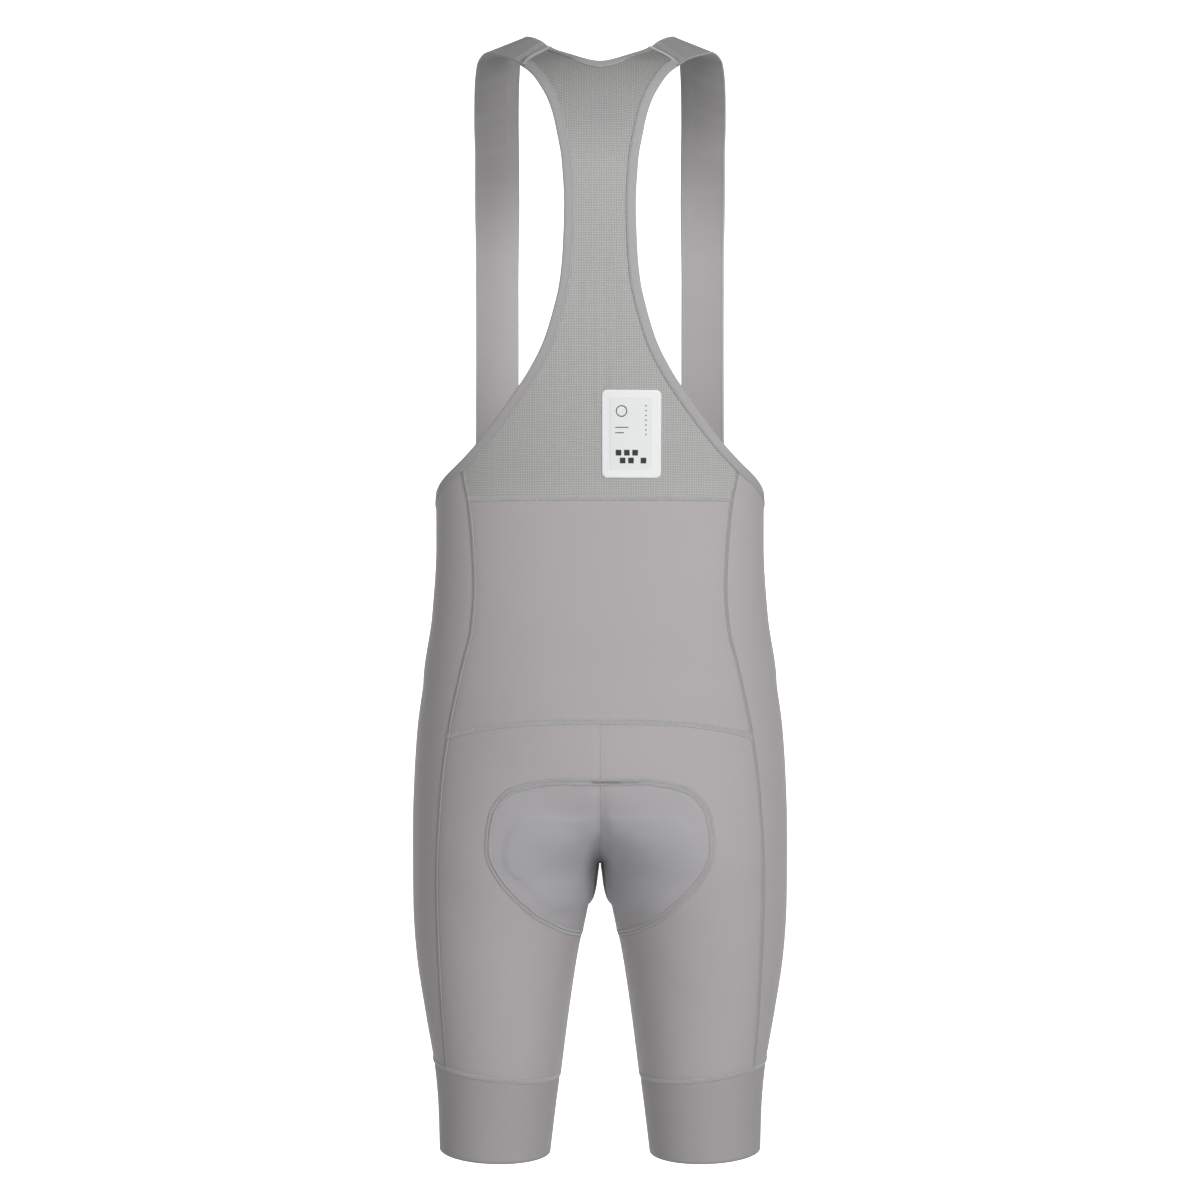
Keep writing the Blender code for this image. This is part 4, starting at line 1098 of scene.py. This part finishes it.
def add_bindings(armhole, neck, front):
    """Folded tapes round the armholes, the neck and the front's top. Each takes the free edge and
    the line at which the panel ends."""
    stitches = binding_stitches(*armhole)
    add_binding("armhole_binding_left", "armhole_binding", *armhole, stitches)
    stitches = [mirrored_part(part) for part in stitches]
    add_binding("armhole_binding_right", "armhole_binding", *map(mirrored, armhole), stitches)
    for name, half in (("neck_binding", neck), ("front_binding", front)):
        lines = [np.concatenate([mirrored(line[:0:-1]), line]) for line in half]
        add_binding(name, name, *lines, binding_stitches(*lines))


def strap_grid():
    """Points and upward directions over a strap, from the shoulder seam to the front panel, and
    the height of its section across it."""
    seam = shoulder(np.array([1.0, 0.0]), -HALF_GAP)
    rows = [(*seam[0], *seam[1], 1.0), *STRAP_OVER_SHOULDER]
    for z in (*STRAP_FRONT_HEIGHTS, FRONT_SEAM_Z + SEAM_GAP):
        rows.append((*on_side(STRAP_FRONT_INNER_X, z, -1), *on_side(STRAP_FRONT_OUTER_X, z, -1), 1.0))
    at = np.linspace(0, len(rows) - 1, STRAP_FINE * (len(rows) - 1) + 1)
    rows = np.stack(columns_at(rows, at), axis=1)
    width = np.linalg.norm(rows[:, 3:6] - rows[:, 0:3], axis=1).mean()
    edge, height = np.array(SELVEDGE).T
    middle = np.linspace(edge[-1], width - edge[-1], STRAP_SPANS + 1)[1:-1]
    share = np.concatenate([edge, middle, width - edge[::-1]])[None, :, None] / width
    height = np.concatenate([height, 0 * middle, height[::-1]])
    flat = rows[:, None, 0:3] * (1 - share) + rows[:, None, 3:6] * share
    hug = rows[:, None, 6:7]
    points = flat * (1 - hug) + onto_form(flat) * hug
    up = unit(np.cross(np.gradient(points, axis=0), np.gradient(points, axis=1)))
    return points, unit(up * (1 - hug) + normals(points) * hug), height


def strap_stitches(points, up):
    """Rows of stitches across a strap's face, where it is sewn down."""
    places, heights = np.array(STRAP_COURSE).T
    parts = []
    for row in STRAP_STITCH_ROWS:
        line = points[row, STRAP_STITCH_COLUMNS]
        at = stitches_along(line, STITCH) + places * STITCH * STRAP_STITCH_SHARE
        spots = read_along(line, line, at)
        rise = read_along(line, up[row, STRAP_STITCH_COLUMNS], at)
        side = unit(np.cross(unit(spots[:, -1:] - spots[:, :1]), rise))
        parts.append(thread_part(spots + rise * (heights * THREAD)[:, None], side, rise, THREAD))
    return parts


def add_straps():
    points, up, height = strap_grid()
    top = points + up * height[:, None]
    under = points - up * (STRAP_CLOTH + height)[:, None]
    loops = np.concatenate([top, under[:, ::-1]], axis=1)
    stitches = strap_stitches(points, up)
    # painted light on each strap's inner face, fading out towards the shoulder; its outer face keeps its
    # own colour
    light = np.interp(-loops[..., 2], (-STRAP_LIGHT[0], -STRAP_LIGHT[1]), (0.0, 1.0))
    light[:, :len(height)] = 0.0
    for side, there, sewn in (
        ("left", loops, stitches),
        ("right", mirrored(loops), [mirrored_part(part) for part in stitches]),
    ):
        piece = sweep(f"worn_strap_{side}", "elastic", there)
        add_shade(piece, "inner", light.ravel())
        rows = joined(f"stitches_strap_{side}", "thread", sewn)
        declare(piece, f"shoulder_strap_{side}")


# ---- the pad

PAD_HALF_COLUMNS = 44
PAD_ROWS = 150
PAD_GATHER = 1.15  # exponent with which its columns gather at the centre
PAD_UNDER = CLOTH + 0.0005  # between the form and the pad's outer face
# Grooves moulded into the pad's inner face. Columns: place from the centre seam 0 to the edge 1,
# the stretch of the pad's length that it runs over, from and to, width as a share, and depth.
PAD_GROOVES = (
    (0, 0.22, 0.8, 0.085, 0.0026), (0.42, 0.06, 0.62, 0.035, 0.0022),
    (0.68, 0.1, 0.94, 0.03, 0.002), (0.32, 0.66, 0.97, 0.035, 0.0012),
)
GROOVE_FADE = 0.05  # at both ends of a groove, as a share of the pad's length
PAD_QUILT = 0.00012  # height of the fine quilting
PAD_QUILT_PITCH = 0.0062


def pad_outline():
    """The line over the left half's outer face that the pad's edge is sewn along."""
    _, turn, edge_z, _ = np.array(PAD).T
    back, front = (on_side(0.0, z, side)[None] for z, side in ((PAD_TOP_Z, 1), (PAD_FRONT_Z, -1)))
    return onto_form(np.concatenate([back, outline(turn, edge_z), front]))


def centre_line(depth):
    """Shares of length, angles and heights along the centre seam, from the pad's back edge to its
    front, on the face that lies depth inside the form."""
    crotch = crotch_z(depth)
    halves = []
    for side, end in ((1, PAD_TOP_Z), (-1, PAD_FRONT_Z)):
        z = crotch + (end - crotch) * np.linspace(0, 1, CENTRE_STEPS)[1:] ** 2
        halves.append(np.stack([0 * z, side_y(0 * z, z, side, depth), z], axis=1))
    line = np.concatenate([halves[0][::-1], [[0.0, 0.0, crotch]], halves[1]])
    along = lengths_along(line)
    return along / along[-1], angle_of(line) % (2 * math.pi), line[:, 2]


def pad_height(along, out, thick):
    """The pad's thickness, with grooves pressed into it, at shares of its length and half width."""
    height = PAD_EDGE_THICK + (thick - PAD_EDGE_THICK) * (1 - out**PAD_DOME)
    for place, first, last, width, depth in PAD_GROOVES:
        fade = soft_step((along - first) / GROOVE_FADE) * soft_step((last - along) / GROOVE_FADE)
        height = height - depth * fade * np.exp(-(((out - place) / width) ** 2))
    return np.maximum(height, PAD_EDGE_THICK / 2)


def add_pad():
    """The moulded seat pad, thick along its middle, with grooves and fine quilting inside."""
    at = np.linspace(0, len(PAD) - 1, PAD_ROWS + 1)
    along, turn, edge_z, thick = (values[:, None] for values in columns_at(PAD, at))
    centre_along, centre_turn, centre_z = centre_line(PAD_UNDER)
    out = np.linspace(0, 1, PAD_HALF_COLUMNS + 1)[None, :] ** PAD_GATHER
    angle = np.interp(along, centre_along, centre_turn) * (1 - out) + np.radians(turn) * out
    z = np.interp(along, centre_along, centre_z) * (1 - out) + edge_z * out
    x, y = ring(z, angle, PAD_UNDER)
    x[:, 0] = 0.0
    outer = np.stack([x, y, z], axis=-1)
    up = normals(outer)
    up[:, 0, 0] = 0.0
    up = unit(up)
    spread = lengths_along(outer[:, PAD_HALF_COLUMNS // 2])[:, None]
    across = np.linalg.norm(outer - outer[:, :1], axis=-1)
    quilt = np.sin(math.pi * spread / PAD_QUILT_PITCH) * np.sin(math.pi * across / PAD_QUILT_PITCH)
    height = pad_height(along, out, thick) + PAD_QUILT * quilt * (1 - out**4)
    inner = outer - up * height[..., None]
    outer = outer + up * relief(outer)[..., None]
    faces = [np.concatenate([mirrored(face[:, :0:-1]), face], axis=1) for face in (outer, inner)]
    piece = slab("worn_pad", "pad", *faces)
    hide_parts("chamois_pad")


# ---- the label

LABEL_X = -0.0265
LABEL_Z = -0.3475
LABEL_SIZE = (0.025, 0.0365, 0.0045)  # half width, half height, corner radius
LABEL_THICK = 0.0009
LABEL_ROUND = 0.0008
FIELD_X, FIELD_Z = 0.0005, 0.0006  # the grey field's middle, from the label's
FIELD_SIZE = (0.0178, 0.03, 0.0012)
INK = 0.00006  # thickness of what is printed
# The printed marks. Columns: x and z from the field's middle, half width, half height.
MARKS = (
    (0.0105, -0.016, 0.0024, 0.0024), (0.0035, -0.016, 0.0024, 0.0024),
    (-0.0035, -0.016, 0.0024, 0.0024), (0.007, -0.0225, 0.0024, 0.0024),
    (0, -0.0225, 0.0024, 0.0024), (-0.0105, -0.0225, 0.0024, 0.0024),
    (0.0078, 0.005, 0.0055, 0.0004), (0.0096, 0.0005, 0.0037, 0.0004),
)
MARK_CORNER = 0.2  # as a share of a mark's smaller half side
CIRCLE = (0.008, 0.0185, 0.0048, 0.004)  # x, z, outer and inner radius
CIRCLE_SIDES = 32
DOTS = 7
DOTS_X, DOTS_Z, DOTS_PITCH = -0.0125, 0.023, 0.004
DOT_RADIUS = 0.0006
DOT_SIDES = 12
DOT_HOLE = 1e-5  # left open at a disc's middle
CORNER_STEPS = 9
PLATE_STEP = 0.0015
PLATE_COLUMNS = 25
PLATE_GATHER = 1.6  # exponent with which a plate's columns gather at its sides
RIM_FOOT = 0.35  # height of a plate's rim at its very edge, as a share of its thickness


def rounded_box(x, z, half_width, half_height, corner):
    """How far places lie inside a rectangle with rounded corners."""
    across = np.abs(x) - (half_width - corner)
    down = np.abs(z) - (half_height - corner)
    outside = np.hypot(np.maximum(across, 0), np.maximum(down, 0))
    return corner - outside - np.minimum(np.maximum(across, down), 0)


def on_label(x, z, height):
    """Points above the net at places on the label, whose x runs to the wearer's left."""
    return lifted(on_side(LABEL_X + x, LABEL_Z + z), height)


def plate(name, kind, middle, size, low, high, edge):
    """A thin plate with rounded corners and a rounded rim, between two heights above the net.
    size: its half width, half height and corner radius."""
    half_width, half_height, corner = size
    turn = np.linspace(0, math.pi / 2, CORNER_STEPS)
    half_z = half_height - corner * (1 - np.cos(turn))
    half_x = half_width - corner * (1 - np.sin(turn))
    count = max(2, int(2 * half_z[-1] / PLATE_STEP))
    straight = half_z[-1] * np.linspace(1, -1, count + 1)[1:-1]
    rows_z = np.concatenate([half_z, straight, -half_z[::-1]])
    rows_x = np.concatenate([half_x, half_width + 0 * straight, half_x[::-1]])
    place = np.linspace(-1, 1, PLATE_COLUMNS)
    place = np.sign(place) * (1 - (1 - np.abs(place)) ** PLATE_GATHER)
    x, z = np.broadcast_arrays(rows_x[:, None] * place, rows_z[:, None])
    inside = rounded_box(x, z, *size)
    rim = np.sqrt(1 - (1 - np.clip(inside / edge, 0, 1)) ** 2)
    x, z = x + middle[0], z + middle[1]
    outer = on_label(x, z, low + (high - low) * (RIM_FOOT + (1 - RIM_FOOT) * rim))
    return slab(name, kind, outer, on_label(x, z, low + 0 * x))


def disc_part(x, z, outer, inner, low, high, sides):
    """A small printed ring, or a disc if its inner radius is next to nothing."""
    turn = np.linspace(0, 2 * math.pi, sides, endpoint=False)[:, None]
    radii = np.array([inner, inner, outer, outer])
    heights = np.array([low, high, high, low]) + 0 * turn
    loops = on_label(x + np.cos(turn) * radii, z + np.sin(turn) * radii, heights)
    return loops_part(loops, wrap=True)


def add_label():
    """A white patch on the net, with a grey field and a few plain marks."""
    patch_piece = plate("worn_label", "label", (0.0, 0.0), LABEL_SIZE, 0.0, LABEL_THICK, LABEL_ROUND)
    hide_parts("label_patch")
    low, high = LABEL_THICK, LABEL_THICK + 2 * INK
    plate("label_field", "field", (FIELD_X, FIELD_Z), FIELD_SIZE, low - INK, low + INK, INK)
    x, z, *radii = CIRCLE
    parts = [disc_part(FIELD_X + x, FIELD_Z + z, *radii, low, high, CIRCLE_SIDES)]
    for k in range(DOTS):
        place = FIELD_X + DOTS_X, FIELD_Z + DOTS_Z - k * DOTS_PITCH
        parts.append(disc_part(*place, DOT_RADIUS, DOT_HOLE, low, high, DOT_SIDES))
    joined("label_dots", "ink", parts)
    for k, (x, z, *half) in enumerate(MARKS):
        size = (*half, min(half) * MARK_CORNER)
        plate(f"label_mark_{k}", "ink", (FIELD_X + x, FIELD_Z + z), size, low, high, INK)


# ---- materials

# What each kind of piece is made of. Columns: its slot, colour, roughness, sheen, how much its
# colour varies, the weave's pitch across and down, in metres, and the depth of its bumps. Where
# it has no weave, the bumps are a fine noise.
KINDS = {
    "knit": ("knit", (0.394, 0.372, 0.377), 0.78, 0.18, 0.035, (0.00075, 0.00095), 0.00002),
    "net": ("net", (0.492, 0.489, 0.477), 0.82, 0.1, 0.03, None, 0.00005),
    "elastic": ("elastic", (0.335, 0.325, 0.328), 0.66, 0.12, 0.05, (0.0015, 0.001), 0.00002),
    "binding": ("binding", (0.36, 0.35, 0.353), 0.68, 0.15, 0.04, (0.0008, 0.0007), 0.00002),
    "gripper": ("gripper", (0.348, 0.33, 0.338), 0.76, 0.12, 0.04, (0.0011, 0.0008), 0.00003),
    "thread": ("binding", (0.525, 0.524, 0.53), 0.6, 0, 0, None, 0.00006),
    "seam": ("binding", (0.352, 0.348, 0.354), 0.65, 0, 0, None, 0.00006),
    "tack": ("binding", (0.23, 0.235, 0.24), 0.6, 0, 0, None, 0),
    "pad": ("pad", (0.33, 0.335, 0.36), 0.92, 0.35, 0.03, None, 0.0003),
    "label": ("label", (0.79, 0.8, 0.805), 0.38, 0, 0, None, 0.00001),
    "field": ("label", (0.74, 0.752, 0.745), 0.5, 0, 0, None, 0),
    "ink": ("label", (0.02, 0.021, 0.023), 0.55, 0, 0, None, 0),
}
SHEEN_ROUGHNESS = 0.45
# Noises. Columns: scale and detail.
MELANGE_NOISE = (900.0, 2.0)
CLOUD_NOISE = (9.0, 3.0)
BUMP_NOISE = (1400.0, 3.0)
CLOUD = 0.018  # how much the colour varies in broad clouds
DIMPLE_PAINTED_SHADE = 0.68  # painted shade in the net's dimples
NET_TOP_PAINTED_SHADE = 0.69  # painted shade of the net towards its top
STRAP_BLOCKS = (0.0402, 0.034, 0.005)  # width and height of a block with its gap, and half the gap
BLOCK_SOFT = 0.2  # share of the gap over which a block's edge fades
BLOCK_SHADE = 0.95
# painted light on a strap's inner face, lighter than the strap's own colour
STRAP_INNER_PAINTED_LIGHT = (0.508, 0.493, 0.498)
STRAP_LIGHT = (-0.045, -0.175)  # heights between which a strap's inner face turns to that painted light, which fades out towards the shoulder
PADDED = (0.368, 0.361, 0.384)  # the knit where it is stretched over the foam
TINT = (0.472, 0.48, 0.486)
WAVE_UNIT = math.pi / 10  # a wave texture's pitch at scale 1
MIX_INPUTS = (0, 6, 7)  # a colour mix's sockets for its share and its two colours
MIX_OUTPUT = 2


class Nodes:
    """Builds the nodes of a material or of the world."""

    def __init__(self, owner):
        owner.use_nodes = True
        self.tree = owner.node_tree

    def feed(self, socket, value):
        """Gives a socket a number, a colour or another node's output."""
        if isinstance(value, bpy.types.NodeSocket):
            self.tree.links.new(value, socket)
        else:
            socket.default_value = (*value, 1.0) if socket.type == "RGBA" else value

    def add(self, kind, inputs=None, **settings):
        node = self.tree.nodes.new(f"ShaderNode{kind}")
        for name, value in settings.items():
            setattr(node, name, value)
        for name, value in (inputs or {}).items():
            self.feed(node.inputs[name], value)
        return node

    def place(self, system, axis):
        """One of a place's coordinates."""
        place = self.add("TexCoord").outputs[system]
        return self.add("SeparateXYZ", {0: place}).outputs[axis]

    def noise(self, scale, detail):
        place = self.add("TexCoord").outputs["Object"]
        return self.add("TexNoise", {"Vector": place, "Scale": scale, "Detail": detail}).outputs["Fac"]

    def attribute(self, name, output="Fac"):
        return self.add("Attribute", attribute_name=name).outputs[output]

    def remap(self, value, low, high, start=0.0, end=1.0, **settings):
        """A value from start to end turned into one from low to high."""
        inputs = {"Value": value, "From Min": start, "From Max": end, "To Min": low, "To Max": high}
        return self.add("MapRange", inputs, **settings).outputs["Result"]

    def math(self, operation, a, b):
        return self.add("Math", {0: a, 1: b}, operation=operation).outputs[0]

    def mix(self, share, first, second):
        """A colour mixed from two."""
        inputs = dict(zip(MIX_INPUTS, (share, first, second)))
        return self.add("Mix", inputs, data_type="RGBA").outputs[MIX_OUTPUT]

    def shaded(self, colour, factor):
        """A colour made darker or lighter by a factor."""
        return self.add("VectorMath", {0: colour, "Scale": factor}, operation="SCALE").outputs[0]

    def wave(self, pitch, direction):
        inputs = {"Vector": self.attribute("cloth", "Vector"), "Scale": WAVE_UNIT / pitch}
        return self.add("TexWave", inputs, wave_type="BANDS", bands_direction=direction).outputs["Fac"]

    def varied(self, colour, share):
        """A colour that varies by a share from one place to the next, and a little in clouds."""
        fine = self.remap(self.noise(*MELANGE_NOISE), 1 - share, 1 + share)
        broad = self.remap(self.noise(*CLOUD_NOISE), 1 - CLOUD, 1 + CLOUD)
        return self.shaded(colour, self.math("MULTIPLY", fine, broad))

    def blocks(self, colour):
        """A colour with plain blocks woven down the strap in a slightly darker tone."""
        wide, tall, gap = STRAP_BLOCKS
        inputs = {
            "Vector": self.attribute("cloth", "Vector"), "Scale": 1.0, "Brick Width": wide,
            "Row Height": tall, "Mortar Size": gap, "Mortar Smooth": BLOCK_SOFT,
        }
        brick = self.add("TexBrick", inputs, offset=0.0).outputs["Fac"]
        return self.shaded(colour, self.remap(brick, BLOCK_SHADE, 1.0))


def material(kind):
    """The material of one kind of cloth, thread, film or ink."""
    name = f"worn_{kind}"
    if name in bpy.data.materials:
        return bpy.data.materials[name]
    made = bpy.data.materials.new(name)
    nodes = Nodes(made)
    _, colour, roughness, sheen, melange, weave, depth = KINDS[kind]
    if kind == "net":
        # painted shade in the net's dimples
        dimple = nodes.remap(nodes.attribute("dimple"), 1.0, DIMPLE_PAINTED_SHADE)
        # painted shade towards the net's top
        top_shade = nodes.remap(nodes.attribute("high"), 1.0, NET_TOP_PAINTED_SHADE)
        colour = nodes.mix(nodes.attribute("tint"), colour, TINT)
        colour = nodes.shaded(colour, nodes.math("MULTIPLY", dimple, top_shade))
    if kind == "knit":
        colour = nodes.mix(nodes.attribute("padded"), colour, PADDED)
    if kind == "elastic":
        # painted light on a strap's inner face
        colour = nodes.mix(nodes.attribute("inner"), nodes.blocks(colour), STRAP_INNER_PAINTED_LIGHT)
    if melange:
        colour = nodes.varied(colour, melange)
    shader = nodes.tree.nodes["Principled BSDF"]
    inputs = {"Base Color": colour, "Roughness": roughness}
    if sheen:
        inputs.update({"Sheen Weight": sheen, "Sheen Roughness": SHEEN_ROUGHNESS})
    if weave:
        bumps = nodes.math("ADD", *map(nodes.wave, weave, "XY"))
    elif depth:
        bumps = nodes.noise(*BUMP_NOISE)
    if depth:
        inputs["Normal"] = nodes.add("Bump", {"Height": bumps, "Distance": depth}).outputs["Normal"]
    for name, value in inputs.items():
        nodes.feed(shader.inputs[name], value)
    return made


# ---- the garment

# Rows of stitches at the pad seam's end. Columns: x from and to, height and the thread's radius.
BARTACK = (
    (0.0066, -0.0165, -0.6364, 0.00024),
    (0.0066, -0.0165, -0.6376, 0.00024),
    (-0.015, -0.033, -0.6372, 0.00018),
)
BARTACK_PITCH = 0.0015
BARTACK_SHARE = 0.96  # of its pitch that a stitch covers
BARTACK_HEIGHT = 0.00075  # above the cloth, so that it lies on the threads of the pad's seam
BARTACK_POINTS = 24
LEVEL_SEAM_POINTS = 200
SIDE_SEAM_POINTS = 300
INNER_LEG_POINTS = 120
INNER_LEG_FROM = 0.001  # below the crotch
GRIPPER_SEAM_POINTS = 400
FOOT_POINTS = 16  # over a strap's width
SHOULDER_SEAM = (0.03, 0.97)  # the stretch of the shoulder seam that its band covers


def side_seam(seam, side, top):
    """A side panel's seam, down the form's back or front from a height."""
    z = np.linspace(top, gripper_seam_z(seam[-1][1]), SIDE_SEAM_POINTS)
    return onto_form(on_side(seam_x(seam, z), z, side))


def centre_seam():
    """The centre seam, from the yoke down the back, under the crotch and up the front."""
    crotch = crotch_z()
    bend = np.linspace(1, 0, LEVEL_SEAM_POINTS) ** 2
    back = crotch + (YOKE_CENTRE_Z - crotch) * bend
    front = crotch + (FRONT_TOP_Z - FRONT_DIP - BINDING_WIDTH - crotch) * bend[::-1]
    return np.concatenate([on_side(0 * back, back), on_side(0 * front, front, -1)[1:]])


def inner_leg_seam():
    z = np.linspace(crotch_z() - INNER_LEG_FROM, GRIPPER_INNER_Z, INNER_LEG_POINTS)
    return np.stack([ring(z, np.full_like(z, math.pi))[0], 0 * z, z], axis=1)


def gripper_seam():
    turn = np.linspace(-math.pi, math.pi, GRIPPER_SEAM_POINTS)
    z = np.full_like(turn, GRIPPER_INNER_Z)
    for _ in range(PASSES):
        x, y = ring(z, turn)
        z = gripper_seam_z(x)
    return np.stack([x, y, z], axis=1)


def add_bartack():
    """Close rows of stitches where the pad's seam starts and ends, at the centre back."""
    parts = []
    for first, last, z, radius in BARTACK:
        x = np.linspace(first, last, BARTACK_POINTS)
        row = on_side(x, z + 0 * x)
        parts.append(dashes(row, BARTACK_PITCH, BARTACK_SHARE, radius, BARTACK_HEIGHT))
    joined("bartack", "tack", parts)


def add_seams(side_top, strap_foot):
    across = np.linspace(-1, 1, LEVEL_SEAM_POINTS)
    waist = across * seam_x(SIDE_BACK_SEAM, WAIST_SEAM_Z)
    yoke = across * YOKE_REACH
    add_seam("waist", on_side(waist, WAIST_SEAM_Z + 0 * waist))
    add_seam("yoke", on_side(yoke, yoke_z(yoke)))
    add_seam("centre", centre_seam(), CENTRE_HALF, SUNKEN, rows=())
    whole_pad = np.concatenate([pad_line, mirrored(pad_line[-2:0:-1]), pad_line[:1]])
    add_seam("pad", whole_pad, DOUBLE_HALF, DOUBLE_ROW, TWO_ROWS, wrap=True)
    side_back = side_seam(SIDE_BACK_SEAM, 1, side_top[0, 2])
    side_front = side_seam(SIDE_FRONT_SEAM, -1, side_top[-1, 2])
    shoulder_seam = shoulder(np.linspace(*SHOULDER_SEAM, FOOT_POINTS), 0.0)
    for name, line, half, kind, wrap, height in (
        ("side_back", side_back, SIDE_HALF, "seam", False, 0.0),
        ("side_front", side_front, SIDE_HALF, "seam", False, 0.0),
        ("inner_leg", inner_leg_seam(), SIDE_HALF, "seam", False, 0.0),
        ("gripper", gripper_seam(), FLATLOCK_HALF, "thread", True, 0.0),
        ("shoulder", shoulder_seam, FLATLOCK_HALF, "thread", False, BINDING_PROUD),
        ("strap_foot", strap_foot, FLATLOCK_HALF, "thread", False, 0.0),
    ):
        for side, there in (("left", line), ("right", mirrored(line))):
            add_seam(f"{name}_{side}", there, half, wrap=wrap, height=height, kind=kind)


def split(line, seam):
    """The two parts of a line, before and after the place where it crosses a side panel's seam."""
    values = angle_of(line) - seam(line[:, 2])
    k = np.argmax(values < 0)
    share = values[k - 1] / (values[k - 1] - values[k])
    there = line[k - 1] + (line[k] - line[k - 1]) * share
    return np.concatenate([line[:k], [there]]), np.concatenate([[there], line[k:]])


def tucked(free, line):
    """The line at which a panel ends inside a folded binding."""
    return onto_form(line + (free - line) * TUCK)


def add_garment():
    armhole, neck, front = edge_lines()
    back_armhole, rest = split(armhole[1], back_seam)
    side_top, _ = split(rest, front_seam)
    _, rest = split(tucked(*armhole), back_seam)
    side_edge, front_edge = split(rest, front_seam)
    foot_x = np.linspace(STRAP_FRONT_OUTER_X, STRAP_FRONT_INNER_X, FOOT_POINTS)
    strap_foot = on_side(foot_x, FRONT_SEAM_Z + 0 * foot_x, -1)
    add_net(back_armhole, neck[1])
    add_lumbar()
    add_legs(side_edge, np.concatenate([front_edge, strap_foot, tucked(*front)[::-1]]))
    add_bindings(armhole, neck, front)
    add_straps()
    add_pad()
    add_label()
    add_bartack()
    add_seams(side_top, strap_foot)


# ---- the studio

CAMERA_AT = (0.0, 1.905, -0.487)
LENS = 64.95
SENSOR = 36.0
FLOOR_Z = -1.46
BACKDROP_Y = -2.4
BACKDROP_TOP = 1.2
STAGE_HALF = 1.9
STAGE_NEAR = 1.2
STAGE_ROUND = 1.2
STAGE_STEPS = 16
WHITE = (1.0, 1.0, 1.0)
PAPER = (0.8, 0.8, 0.8)
PAPER_ROUGHNESS = 0.9
PAPER_GLOW = 1.0
GLOW_FROM = -0.9  # the backdrop starts to glow here, and glows fully from the next place on
GLOW_TO = -1.5
TARGET = (0.0, 0.0, -0.5)
# The lamps. Columns: name, place, width, height and power.
LAMPS = (
    ("key", (-1.33, 2.05, 0.39), 1.2, 1.2, 36.0),
    ("fill", (0.25, 2.45, 0.15), 1.4, 1.0, 20.0),
    ("front", (0.5, -1.9, -0.2), 1.6, 1.6, 8.0),
)
SKY = 0.34  # strength of the room's light from the horizon down
SKY_TOP = 0.06  # and from above


def placed(name, data, place):
    """An object of the studio, at a place."""
    thing = bpy.data.objects.new(name, data)
    thing.location = place
    bpy.context.scene.collection.objects.link(thing)
    return thing


def add_camera():
    data = bpy.data.cameras.new("camera")
    data.lens = LENS
    data.sensor_width = SENSOR
    camera = placed("camera", data, CAMERA_AT)
    camera.rotation_euler = (math.pi / 2, 0.0, math.pi)
    bpy.context.scene.camera = camera


def add_lamps():
    for name, place, width, height, power in LAMPS:
        data = bpy.data.lights.new(name, "AREA")
        data.shape = "RECTANGLE"
        data.size, data.size_y = width, height
        data.energy = power
        aim = Vector(TARGET) - Vector(place)
        placed(name, data, place).rotation_euler = aim.to_track_quat("-Z", "Y").to_euler()


def add_world():
    """A white room, brighter from the sides than from above."""
    world = bpy.data.worlds.new("studio")
    nodes = Nodes(world)
    ground = nodes.tree.nodes["Background"]
    nodes.feed(ground.inputs["Color"], WHITE)
    nodes.feed(ground.inputs["Strength"], nodes.remap(nodes.place("Generated", "Z"), SKY, SKY_TOP))
    bpy.context.scene.world = world


def add_stage():
    """A white floor that curves up into a backdrop, which glows behind the garment."""
    turn = np.linspace(0, math.pi / 2, STAGE_STEPS)
    round_y = BACKDROP_Y + STAGE_ROUND * (1 - np.sin(turn))
    round_z = FLOOR_Z + STAGE_ROUND * (1 - np.cos(turn))
    y = np.concatenate([[STAGE_NEAR], round_y, [BACKDROP_Y]])
    z = np.concatenate([[FLOOR_Z], round_z, [BACKDROP_TOP]])
    points = [(x, *place) for place in zip(y, z) for x in (-STAGE_HALF, STAGE_HALF)]
    mesh = bpy.data.meshes.new("backdrop")
    mesh.from_pydata(points, [], grid_faces(len(y), 2).tolist())
    mesh.shade_smooth()
    paper = bpy.data.materials.new("paper")
    nodes = Nodes(paper)
    glow = nodes.remap(
        nodes.place("Object", "Y"), 0.0, PAPER_GLOW, GLOW_FROM, GLOW_TO, interpolation_type="SMOOTHSTEP"
    )
    shader = nodes.tree.nodes["Principled BSDF"]
    for name, value in (
        ("Base Color", PAPER),
        ("Roughness", PAPER_ROUGHNESS),
        ("Emission Color", WHITE),
        ("Emission Strength", glow),
    ):
        nodes.feed(shader.inputs[name], value)
    mesh.materials.append(paper)
    placed("backdrop", mesh, (0.0, 0.0, 0.0))


garment = bpy.data.collections.new("bib_shorts")
bpy.context.scene.collection.children.link(garment)
foam_step = soft_rise(outline(*np.array(FOAM).T), FOAM_RISE)
pad_line = pad_outline()
pad_step = soft_rise(pad_line, PAD_RISE)
add_garment()
add_camera()
add_lamps()
add_world()
add_stage()
bpy.context.scene.view_settings.view_transform = "Standard"
